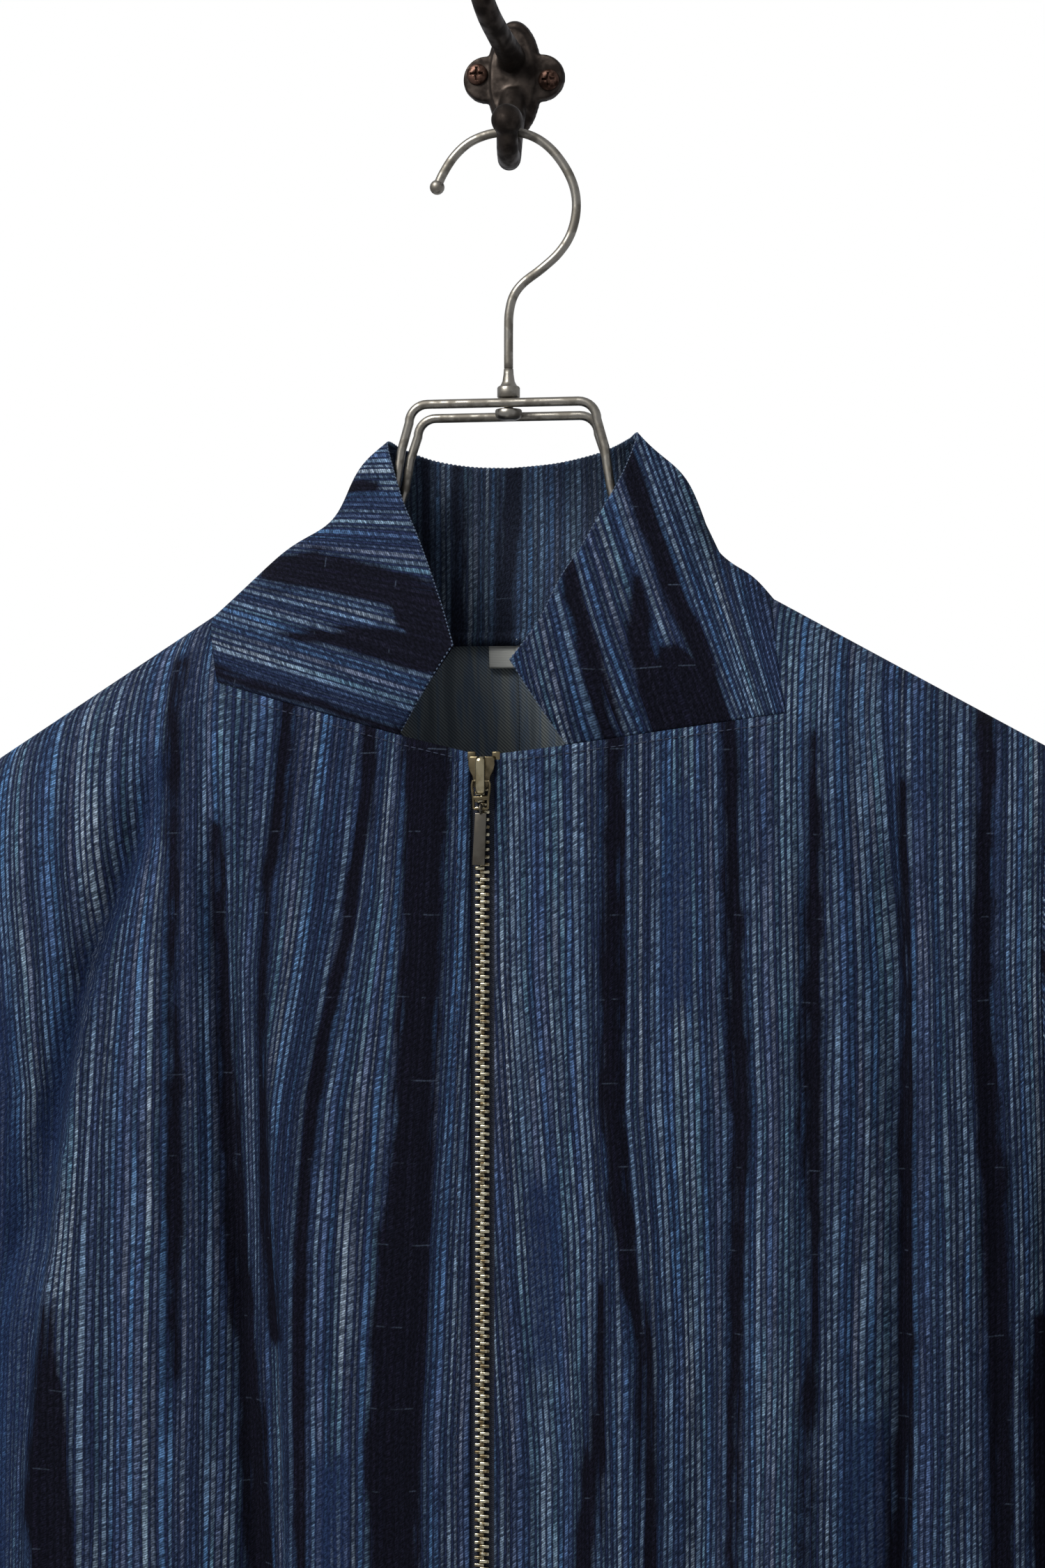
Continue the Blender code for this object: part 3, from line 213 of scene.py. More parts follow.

# %% [markdown]
# ## Creases
# A hung jacket creases where its weight is taken and where it was folded or worn. Each
# crease here is given as a line with a width and a height: a trough is negative.
# The large ones are those of the solids, and the fine ones are added to them.

# %% Creases of the body
# x and z where the crease begins, x and z where it ends, width, height
LARGE_FOLDS = {
    (LEFT, FRONT): ((131, -290, 182, -470, 14, -9), (110, -310, 78, -830, 13, -9),
                    (136, -430, 124, -830, 17, 6), (52, -520, 44, -830, 20, 4)),
    (RIGHT, FRONT): ((156, -290, 163, -600, 12, -6), (92, -470, 78, -830, 18, -7),
                     (120, -420, 116, -830, 18, 5), (161, -560, 158, -830, 15, -5)),
    (LEFT, BACK): ((150, -330, 165, -820, 17, -6), (60, -420, 72, -820, 20, -6),
                   (105, -380, 112, -820, 18, 5)),
    (RIGHT, BACK): ((140, -330, 152, -820, 17, -6), (45, -450, 58, -820, 20, -6),
                    (95, -380, 100, -820, 18, 5)),
}
FINE_FOLDS = {
    (LEFT, FRONT): ((112, -290, 99, -480, 5, -2.6), (99, -480, 90, -640, 5, -2.6),
                    (90, -640, 78, -820, 5, -2.2), (133, -296, 160, -368, 6, -2.2),
                    (162, -372, 190, -470, 6, -2.4), (127, -290, 123, -520, 4, -1.5),
                    (88, -350, 82, -560, 4, -2.0), (48, -300, 72, -460, 5, -1.2),
                    (146, -380, 140, -560, 6, 1.4), (116, -330, 112, -520, 5, 1.6),
                    (156, -520, 146, -700, 7, -1.6), (180, -560, 172, -700, 7, -2.2),
                    (24, -560, 20, -760, 8, 1.1), (62, -600, 56, -800, 6, 1.3),
                    (104, -700, 98, -815, 6, -1.5), (190, -400, 200, -520, 5, -1.4)),
    (RIGHT, FRONT): ((144, -248, 158, -274, 5, -2.4), (178, -270, 190, -298, 5, -2.2),
                     (161, -300, 162, -460, 4, -2.4), (162, -460, 160, -640, 4, -2.4),
                     (128, -300, 127, -470, 4, -1.4), (193, -290, 198, -560, 4, -1.6),
                     (98, -300, 97, -520, 4, -1.2), (51, -290, 64, -580, 4, -1.3),
                     (5, -330, 10, -366, 3, -1.2), (112, -320, 114, -560, 7, 1.2),
                     (146, -330, 150, -560, 6, 1.2), (178, -340, 180, -600, 7, 1.4),
                     (28, -600, 24, -760, 8, -1.1), (186, -660, 180, -800, 6, -1.7),
                     (110, -700, 104, -815, 6, 1.5), (86, -540, 80, -740, 5, -1.8)),
    (LEFT, BACK): ((30, -300, 44, -420, 9, -1.4), (90, -290, 110, -400, 8, -1.8),
                   (140, -300, 172, -400, 7, -2.0), (120, -460, 118, -640, 7, -1.8),
                   (84, -520, 88, -700, 6, 1.5), (24, -560, 28, -760, 8, -1.3),
                   (176, -540, 178, -740, 7, -1.8), (140, -660, 146, -810, 6, 1.5)),
    (RIGHT, BACK): ((26, -310, 38, -440, 9, -1.4), (96, -300, 118, -390, 8, -1.8),
                    (150, -310, 176, -410, 7, -2.0), (124, -480, 122, -650, 7, -1.8),
                    (74, -520, 78, -690, 6, 1.5), (20, -600, 24, -780, 8, -1.3),
                    (172, -560, 176, -750, 7, -1.8), (130, -680, 136, -810, 6, 1.5)),
}


def smooth(value):
    """Ease from 0 to 1."""
    value = min(max(value, 0.0), 1.0)
    return value * value * (3.0 - 2.0 * value)


def mix(start, end, share):
    return start + (end - start) * share


def along(values, share):
    """Value at a share of a smooth curve through evenly weighted numbers."""
    last = len(values) - 1
    place = min(max(share, 0.0), 1.0) * last
    index = min(int(place), last - 1)
    t = place - index
    p0, p1 = values[max(index - 1, 0)], values[index]
    p2, p3 = values[index + 1], values[min(index + 2, last)]
    return 0.5 * (2 * p1 + (p2 - p0) * t + (2 * p0 - 5 * p1 + 4 * p2 - p3) * t * t
                  + (3 * p1 - p0 - 3 * p2 + p3) * t * t * t)


def fold_height(folds, x, z):
    """Sum of the soft folds at a place."""
    total = 0.0
    for x_top, z_top, x_low, z_low, width, height in folds:
        share = (z_top - z) / (z_top - z_low)
        if share <= -0.2 or share >= 1.25:
            continue
        middle = mix(x_top, x_low, share)
        if abs(x - middle) > 3.2 * width:
            continue
        fade = smooth((share + 0.2) / 0.45) * smooth((1.25 - share) / 0.2)
        total += height * fade * math.exp(-((x - middle) / width) ** 2)
    return total


print("creases on the fronts:", [len(FINE_FOLDS[side, FRONT]) for side in (LEFT, RIGHT)])

# %% [markdown]
# ## Body panels
# The depth at each place comes from three things: how far below the shoulder line it
# is, how near the side seam, and the creases there. A slow ripple keeps the plain
# stretches from looking like metal.

# %% Body surface
def shoulder_z(side, x):
    return SHOULDER_START_Z[side] - SHOULDER_SLOPE[side] * (max(x, NECK_SIDE_X)
                                                           - SHOULDER_START_X)


def edge_x(side, z):
    """Distance of the armhole seam, and below it of the side seam, from the middle."""
    top = shoulder_z(side, SHOULDER_X)
    if z >= UNDERARM_Z:
        share = min(max((top - z) / (top - UNDERARM_Z), 0.0), 1.0)
        return mix(SHOULDER_X, SIDE_X, share) - ARMHOLE_CURVE * math.sin(math.pi * share)
    return mix(SIDE_X, HEM_SIDE_X, (UNDERARM_Z - z) / (UNDERARM_Z - HEM_Z))


def armhole_share(z):
    if z >= ARMHOLE_MID_Z:
        return ARMHOLE_OPEN
    if z <= UNDERARM_Z:
        return 0.0
    share = (ARMHOLE_MID_Z - z) / (ARMHOLE_MID_Z - UNDERARM_Z)
    return ARMHOLE_OPEN * math.sqrt(max(1.0 - share * share, 0.0))


def ripple(x, z):
    """Slow unevenness of hanging cotton, under a millimetre high."""
    down = smooth((-300.0 - z) / 200.0)
    wave = math.sin(x / 13.0 + 1.3 * math.sin(z / 61.0)) * 0.35
    wave += math.sin(x / 7.3 - z / 47.0 + 2.0) * 0.22 + math.sin(x / 29.0 + z / 83.0) * 0.5
    return wave * (0.35 + 0.65 * down)


def body_point(side, face, x, z, edge):
    """Outer surface of the body at distance x from the middle and height z."""
    depth = FRONT_DEPTH if face == FRONT else BACK_DEPTH
    down = min(max((shoulder_z(side, x) - z) / SHOULDER_DROP, 0.0), 1.0)
    rounding = math.sqrt(max(1.0 - (1.0 - down) ** 2, 0.0))
    flare = smooth((z - UNDERARM_Z) / (HEM_Z - UNDERARM_Z)) * (HEM_FLARE if face == FRONT else 0)
    left_over = armhole_share(z)
    virtual = edge / (1.0 - left_over ** FLATNESS) ** (1.0 / FLATNESS)
    oval = max(1.0 - (x / virtual) ** FLATNESS, 0.0) ** (1.0 / FLATNESS)
    fade = smooth((edge - x) / 22.0) * smooth(down * 1.2)
    creases = fold_height(LARGE_FOLDS[side, face], x, z)
    small = fold_height(FINE_FOLDS[side, face], x, z) + ripple(side * x + 40 * face, z)
    small *= smooth((edge - x) / 12.0) * smooth((x - 2.0) / 16.0) * smooth(down * 3.0)
    out = (depth + flare) * rounding * oval + creases * fade + small
    return Vector((CENTRE_X + side * x, HANGER_Y + face * (SEAM_GAP / 2 + out), z))


def neckline(side, face):
    """Height of the panel's top edge as a function of x, below the collar's notch."""
    corner_z = NOTCH_Z[side] if face == FRONT else BACK_NECK_Z
    notch_drop = shoulder_z(side, NOTCH_TOP_X[side]) - corner_z

    def top(x):
        if x < NOTCH_LOW_X[side]:
            if face == BACK:
                return BACK_NECK_Z
            if x <= COLLAR_END_X:
                return mix(ZIP_TOP_Z, COLLAR_END_Z[side], x / COLLAR_END_X)
            share = (x - COLLAR_END_X) / (NOTCH_LOW_X[side] - COLLAR_END_X)
            return mix(COLLAR_END_Z[side], corner_z, share)
        beyond = (x - NOTCH_LOW_X[side]) / (SHOULDER_X - NOTCH_LOW_X[side])
        return mix(corner_z, shoulder_z(side, SHOULDER_X) - notch_drop, min(beyond, 1.0))

    return top


def panel_cells(side, face):
    """Rows of (x, z, edge) from the shoulder line to the hem; None inside the notch."""
    top = neckline(side, face)
    yoke_rows = YOKE_ROWS if face == FRONT else BACK_YOKE_ROWS
    arm_rows = ARM_ROWS + YOKE_ROWS - yoke_rows
    inner_start = ZIP_OPENING / 2 if face == FRONT else SEAM_GAP / 2
    first_z = top(SHOULDER_X)
    underarm = (first_z - UNDERARM_Z) / (first_z - HEM_Z)
    shares = [underarm * row / arm_rows for row in range(arm_rows + 1)]
    shares += [mix(underarm, 1.0, (row + 1) / BODY_ROWS) for row in range(BODY_ROWS)]
    inner = [mix(inner_start, COLLAR_END_X, c / NECK_COLUMNS) for c in range(NECK_COLUMNS)]
    inner += [mix(COLLAR_END_X, NOTCH_LOW_X[side], c / CHEST_COLUMNS)
              for c in range(CHEST_COLUMNS)]
    outer = [math.sin(math.pi / 2 * c / OUTER_COLUMNS) for c in range(OUTER_COLUMNS + 1)]
    rows = []
    for row in range(yoke_rows):
        share = (row / yoke_rows) ** 2
        notch = mix(NOTCH_TOP_X[side], NOTCH_LOW_X[side], share)
        edge = edge_x(side, mix(shoulder_z(side, SHOULDER_X), top(SHOULDER_X), share))
        cells = [None] * len(inner)
        for place in outer:
            x = mix(notch, edge, place)
            low = mix(top(NOTCH_LOW_X[side]), top(SHOULDER_X), (x - notch) / (edge - notch))
            cells.append((x, mix(shoulder_z(side, x), low, share), edge))
        rows.append(cells)
    for share in shares:
        edge = edge_x(side, mix(top(SHOULDER_X), HEM_Z, share))
        line = inner + [mix(NOTCH_LOW_X[side], edge, place) for place in outer]
        rows.append([(x, mix(top(x), HEM_Z, share), edge) for x in line])
    return rows


cells = {(side, face): panel_cells(side, face) for side in (LEFT, RIGHT)
         for face in (FRONT, BACK)}
panels = {key: [[None if cell is None else body_point(*key, *cell) for cell in row]
                for row in rows] for key, rows in cells.items()}
print("panels:", len(panels), "points each about", len(panels[LEFT, FRONT]) * len(
    panels[LEFT, FRONT][0]))

# %% [markdown]
# ## Sleeves
# A sleeve starts as the armhole's own loop of points and eases, over a quarter of its
# length, into a flat tube that hangs beside the body.

# %% Sleeve surface
CUFF_Z = -843.0
SLEEVE_MIDDLE_Y = -52.0
SLEEVE_HALF_DEPTH = (34, 41, 45, 47, 47, 46, 45, 44)
SLEEVE_OUTER = ((217, 0), (248, -22), (276, -66), (294, -152), (302, -242), (304, -342),
                (302, -452), (296, -562))
SLEEVE_INNER = ((220, -470), (224, -476), (227, -488), (228, -520), (228, -580), (229, -660),
                (230, -750), (232, -843))
SLEEVE_TAPER = 0.28
SLEEVE_FOLDS = (
    (0.30, 0.18, 0.17, 0.46, 0.055, -4.0), (0.16, 0.50, 0.30, 0.78, 0.050, -3.5),
    (0.40, 0.30, 0.33, 0.98, 0.045, 3.0), (0.72, 0.20, 0.80, 0.60, 0.055, -4.0),
    (0.83, 0.62, 0.70, 0.95, 0.050, -3.0),
)
SLEEVE_CREASES = (
    (0.22, 0.16, 0.12, 0.30, 0.022, -1.8), (0.08, 0.30, 0.20, 0.46, 0.020, -1.8),
    (0.24, 0.44, 0.10, 0.56, 0.018, -1.6), (0.06, 0.55, 0.22, 0.70, 0.020, 1.4),
    (0.28, 0.66, 0.16, 0.80, 0.018, -1.6), (0.10, 0.80, 0.20, 0.95, 0.020, -1.4),
    (0.94, 0.22, 0.84, 0.38, 0.022, -1.8), (0.80, 0.40, 0.92, 0.54, 0.020, -1.7),
    (0.90, 0.56, 0.78, 0.72, 0.018, 1.4), (0.76, 0.70, 0.90, 0.86, 0.020, -1.6),
    (0.02, 0.36, 0.99, 0.60, 0.020, -1.5), (0.99, 0.66, 0.04, 0.90, 0.020, 1.2),
)


def sleeve_shape(side, share, turn):
    """Point of the plain sleeve tube; turn 0 is the outer side, 0.25 the front."""
    top = shoulder_z(side, SHOULDER_X)
    drop = CUFF_Z - top
    outer_x = along([x for x, _ in SLEEVE_OUTER], share)
    outer_z = top + along([z for _, z in SLEEVE_OUTER], share) * drop / SLEEVE_OUTER[-1][1]
    inner_x = along([x for x, _ in SLEEVE_INNER], share)
    inner_z = along([z for _, z in SLEEVE_INNER], share)
    depth = along(SLEEVE_HALF_DEPTH, share)
    folds = [(a, -b, c, -d, w, h) for a, b, c, d, w, h in SLEEVE_FOLDS]
    swell = fold_height(folds, turn, -share)
    folds = [(a, -b, c, -d, w, h) for a, b, c, d, w, h in SLEEVE_CREASES]
    swell += fold_height(folds, turn, -share)
    swell += 0.5 * math.sin(25.1 * turn + 31 * share + side) * math.sin(44 * share)
    grow = 1.0 + swell * smooth((share - 0.05) / 0.2) / depth
    angle = 2 * math.pi * turn
    reach = math.cos(angle) * grow
    x = (outer_x + inner_x) / 2 + (outer_x - inner_x) / 2 * reach
    z = (outer_z + inner_z) / 2 + (outer_z - inner_z) / 2 * reach
    return Vector((CENTRE_X + side * x, SLEEVE_MIDDLE_Y - depth * math.sin(angle) * grow, z))


def armhole_loop(front, back):
    """Points round the armhole: top, down the front, underarm, up the back."""
    down_front = [row[-1] for row in front[:YOKE_ROWS + ARM_ROWS + 1]]
    down_back = [row[-1] for row in back[:YOKE_ROWS + ARM_ROWS + 1]]
    top = (down_front[0] + down_back[0]) / 2
    under = (down_front[-1] + down_back[-1]) / 2
    return [top] + down_front[1:-1] + [under] + down_back[-2:0:-1]


def sleeve_points(side, front, back):
    loop = armhole_loop(front, back)
    count = len(loop)
    middle = sum(loop, Vector()) / count
    seam, bend, tucked = [], [], []
    for index, point in enumerate(loop):
        run = loop[(index + 1) % count] - loop[index - 1]
        away = run.cross(point - middle).normalized()
        if away.x * side < 0:
            away.negate()
        low = max(-math.cos(2 * math.pi * index / count), 0.0) ** 4
        seam.append(point + away * mix(CURVED_GAP, UNDERARM_GAP, low))
        under = (point - middle).normalized() * (CLOTH + 0.5)
        bend.append(seam[-1] - under)
        tucked.append(seam[-1] - under - away * ALLOWANCE)
    shift = [seam[k] - sleeve_shape(side, 0.0, k / count) for k in range(count)]
    rows = [tucked, bend]
    for row in range(SLEEVE_ROWS + 1):
        share = (row / SLEEVE_ROWS) ** 1.15
        fade = 1.0 - smooth(share / SLEEVE_TAPER)
        rows.append([sleeve_shape(side, share, k / count) + shift[k] * fade
                     for k in range(count)])
    return rows


sleeves = {side: sleeve_points(side, panels[side, FRONT], panels[side, BACK])
           for side in (LEFT, RIGHT)}
print("sleeve rings:", len(sleeves[LEFT]), "of", len(sleeves[LEFT][0]), "points")

# %% [markdown]
# ## Collar
# The collar is a stand set into a square notch. Its front corners fall open, and each
# side rolls over a shoulder on its way to the back of the neck.

# %% Collar surface
WING_STATIONS = CHEST_COLUMNS + YOKE_ROWS + BACK_YOKE_ROWS
BACK_STATIONS = CHEST_COLUMNS + NECK_COLUMNS
WING_EDGE = {
    LEFT: ((-10.6, -105, -242), (-16.5, -96, -227), (-24, -86, -210), (-31, -76, -196),
           (-38, -67, -183), (-44, -58, -168), (-47.6, -49, -158), (-46, -38, -158)),
    RIGHT: ((12.1, -105, -248), (22, -98, -233), (29, -89, -216), (36, -80, -203),
            (43, -71, -188), (50, -60, -172), (54.4, -49, -156), (50, -37, -156)),
}
BACK_EDGE = {
    LEFT: ((-46, -38, -158), (-41, -25, -160), (-32, -18, -162.5), (-18, -15, -164.5),
           (-3, -14, -165)),
    RIGHT: ((50, -37, -156), (42, -25, -158), (32, -18, -160.5), (16, -15, -163.5),
            (-3, -14, -165)),
}
COLLAR_TROUGH = {LEFT: (0.62, -6.0), RIGHT: (0.34, -5.0)}
COLLAR_SWELL = {LEFT: (0.86, 2.5), RIGHT: (0.72, 3.5)}
WING_BOW = 3.0


def edge_at(points, share):
    return Vector([along([point[axis] for point in points], share) for axis in range(3)])


def collar_seam(side, front, back):
    """The notch's edge, from the collar's front end round to the middle of the back."""
    corner = NECK_COLUMNS + CHEST_COLUMNS
    edge = [front[YOKE_ROWS][column] for column in range(NECK_COLUMNS, corner + 1)]
    edge += [front[row][corner] for row in range(YOKE_ROWS - 1, 0, -1)]
    edge.append((front[0][corner] + back[0][corner]) / 2)
    edge += [back[row][corner] for row in range(1, BACK_YOKE_ROWS)]
    edge += [back[BACK_YOKE_ROWS][column] for column in range(corner, -1, -1)]
    seam = []
    for index, point in enumerate(edge):
        inward = Vector((0, 0, 0))
        for start, end in ((max(index - 1, 0), index), (index, min(index + 1, len(edge) - 1))):
            run = edge[end] - edge[start]
            if run.length > 0:
                level = Vector((-side * abs(run.z), 0, abs(run.x)))
                level += Vector((-side * abs(run.y) * 0.85, 0, abs(run.y) * 0.5))
                inward += level.normalized()
        inward.normalize()
        share = 1.0 / max(inward.x * -side, inward.z)
        low = point + inward * CURVED_GAP * min(share, 1.4)
        run = edge[min(index + 1, len(edge) - 1)] - edge[max(index - 1, 0)]
        skin = run.cross(inward).normalized()
        if skin.dot(point - Vector((CENTRE_X, HANGER_Y, point.z - 40.0))) < 0:
            skin.negate()
        bend = low - skin * (CLOTH + 0.5)
        seam.append((bend - inward * ALLOWANCE, bend, low))
    return seam


def collar_points(side, front, back):
    """Columns run up from the seam to the free edge."""
    stations = []
    for index, (tucked, bend, low) in enumerate(collar_seam(side, front, back)):
        place = index / FINER
        if index <= WING_STATIONS:
            high = edge_at(WING_EDGE[side], index / WING_STATIONS)
        else:
            high = edge_at(BACK_EDGE[side], (index - WING_STATIONS) / BACK_STATIONS)
        high.x += CENTRE_X
        chord = high - low
        out = Vector((side * abs(chord.z), 0, abs(chord.x))).normalized()
        near_top = math.exp(-((place - WING_STATIONS / FINER + 1) / 3.0) ** 2)
        bow = WING_BOW * (1.0 - smooth(place / 8.0))
        line = [tucked, bend]
        for step in range(COLLAR_ROWS + 1):
            share = step / COLLAR_ROWS
            rise = 0.0
            for middle, size in (COLLAR_TROUGH[side], COLLAR_SWELL[side]):
                rise += size * math.exp(-((share - middle) / 0.16) ** 2)
            point = low + chord * share + out * rise * near_top * smooth(share * 4)
            point.y -= bow * math.sin(math.pi * share)
            line.append(point)
        stations.append(line)
    return stations


def pull_apart(stations, end):
    """Draw the last or first station back by half a seam gap."""
    inside = stations[end - 1 if end < 0 else end + 1]
    stations[end] = [point + (other - point).normalized() * SEAM_GAP / 2
                     for point, other in zip(stations[end], inside)]


halves = {side: collar_points(side, panels[side, FRONT], panels[side, BACK])
          for side in (LEFT, RIGHT)}
wings = {side: [list(line) for line in half[:WING_STATIONS + 1]]
         for side, half in halves.items()}
for wing in wings.values():
    pull_apart(wing, -1)
left_back, right_back = halves[LEFT][WING_STATIONS:], halves[RIGHT][WING_STATIONS:]
middle_line = [(a + b) / 2 for a, b in zip(left_back[-1], right_back[-1])]
collar_back = left_back[:-1] + [middle_line] + right_back[-2::-1]
pull_apart(collar_back, 0)
pull_apart(collar_back, -1)
print("collar stations:", len(wings[LEFT]), len(collar_back))

# %% [markdown]
# ## Thread lines and dye
# Each point of a panel knows where it lies in the cloth: how far across the warp
# threads, and how far along them. The stripes are drawn in those two lengths, kept as
# a texture map in metres, so they bend with the cloth. On the fronts the threads lean
# into the folds, so some of them are listed as lines, and the others share the
# room between. A fold that swallows cloth has two lines close together.

# %% Threads of the fronts: height, distance from the middle, place across the cloth
THREAD_LINES = {
    (LEFT, FRONT): (
        ((-270, 21.8, 24), (-370, 25.1, 24), (-470, 30.7, 24), (-550, 34.2, 24), (-830, 31, 24)),
        ((-270, 44, 56), (-340, 52, 56), (-420, 68, 56), (-480, 72.8, 56), (-830, 70, 56)),
        ((-270, 76, 84), (-370, 87, 84), (-420, 87, 76), (-470, 84.6, 69), (-520, 81.1, 64.7),
         (-620, 77.4, 61), (-830, 71.5, 58)),
        ((-270, 77.9, 86), (-370, 89.2, 86), (-470, 87.7, 84), (-520, 83, 79), (-620, 79.5, 77),
         (-830, 75, 76)),
        ((-270, 108.3, 106), (-370, 105.4, 105), (-470, 99.3, 99), (-520, 95, 92),
         (-620, 87, 88), (-830, 78, 86)),
        ((-270, 112.3, 110), (-370, 109.4, 108), (-470, 103.3, 104.7), (-520, 99, 100.5),
         (-620, 91, 91), (-830, 82, 88)),
        ((-270, 126.3, 125), (-420, 125, 125), (-530, 124.2, 125), (-830, 125, 125)),
        ((-270, 131, 135), (-320, 137.5, 140), (-370, 159.7, 153), (-420, 171.5, 160),
         (-470, 178.5, 164), (-570, 187, 168), (-830, 190, 170)),
        ((-270, 133, 137), (-320, 140.5, 143.5), (-370, 162.7, 165), (-420, 174.5, 176),
         (-470, 181.8, 180), (-570, 190, 181), (-830, 193, 182)),
        ((-270, 193.3, 184), (-370, 186.8, 186), (-420, 183.8, 186), (-470, 187.5, 186),
         (-520, 195.8, 190), (-830, 200, 193)),
    ),
    (RIGHT, FRONT): (
        ((-270, 19, 22), (-370, 21.4, 22), (-470, 27.7, 22), (-560, 33, 22), (-830, 33, 22)),
        ((-270, 41.8, 41), (-420, 43, 41), (-470, 46.6, 41), (-520, 45, 40), (-620, 40.5, 32),
         (-830, 41, 32)),
        ((-270, 51.1, 50), (-420, 50, 50), (-470, 54.5, 50), (-520, 62.8, 56), (-620, 65, 60),
         (-830, 63, 60)),
        ((-270, 95.7, 97), (-370, 97.4, 97), (-420, 100, 97), (-520, 96.9, 95), (-830, 95, 94)),
        ((-270, 127.6, 128), (-420, 128.3, 128), (-520, 127, 126), (-620, 122.9, 123),
         (-830, 122, 122)),
        ((-270, 141, 142), (-370, 148, 144), (-420, 148, 144), (-520, 143, 142), (-830, 139, 138)),
        ((-270, 155, 156), (-370, 161, 155), (-470, 160.7, 155), (-830, 157, 153)),
        ((-270, 158, 160), (-370, 164, 163), (-470, 164, 163), (-830, 160, 160)),
        ((-270, 193.5, 193), (-370, 191, 191), (-470, 196, 193), (-560, 198.5, 195),
         (-830, 198.8, 195)),
    ),
}


def arc_table(depth):
    """Distances from the middle and the true length of cloth to each, round the oval."""
    xs = [HEM_SIDE_X * math.sin(math.pi / 2 * step / 240) for step in range(241)]
    depths = [depth * (1 - (x / HEM_SIDE_X) ** FLATNESS) ** (1 / FLATNESS) for x in xs]
    arc = [0.0]
    for step in range(1, 241):
        arc.append(arc[-1] + math.hypot(xs[step] - xs[step - 1], depths[step] - depths[step - 1]))
    return xs, arc


def thread_place(side, face, x, z, xs, arc):
    """Place across the cloth of the thread that passes a point of a panel."""
    here = float(np.interp(x, xs, arc))
    lines = THREAD_LINES.get((side, face))
    if not lines:
        return here + 2.5 * math.sin(z / 120.0 + x / 70.0 + side)
    knots = []
    for line in lines:
        downs = [-z_knot for z_knot, _, _ in line]
        at = float(np.interp(-z, downs, [x_knot for _, x_knot, _ in line]))
        knots.append((float(np.interp(at, xs, arc)),
                      float(np.interp(-z, downs, [thread for _, _, thread in line]))))
    if here <= knots[0][0]:
        return knots[0][1] - (knots[0][0] - here)
    for (low, low_thread), (high, high_thread) in zip(knots, knots[1:]):
        if here <= high:
            return mix(low_thread, high_thread, (here - low) / (high - low))
    return knots[-1][1] + here - knots[-1][0]


print("thread lines drawn by hand:", {key: len(lines) for key, lines in THREAD_LINES.items()})
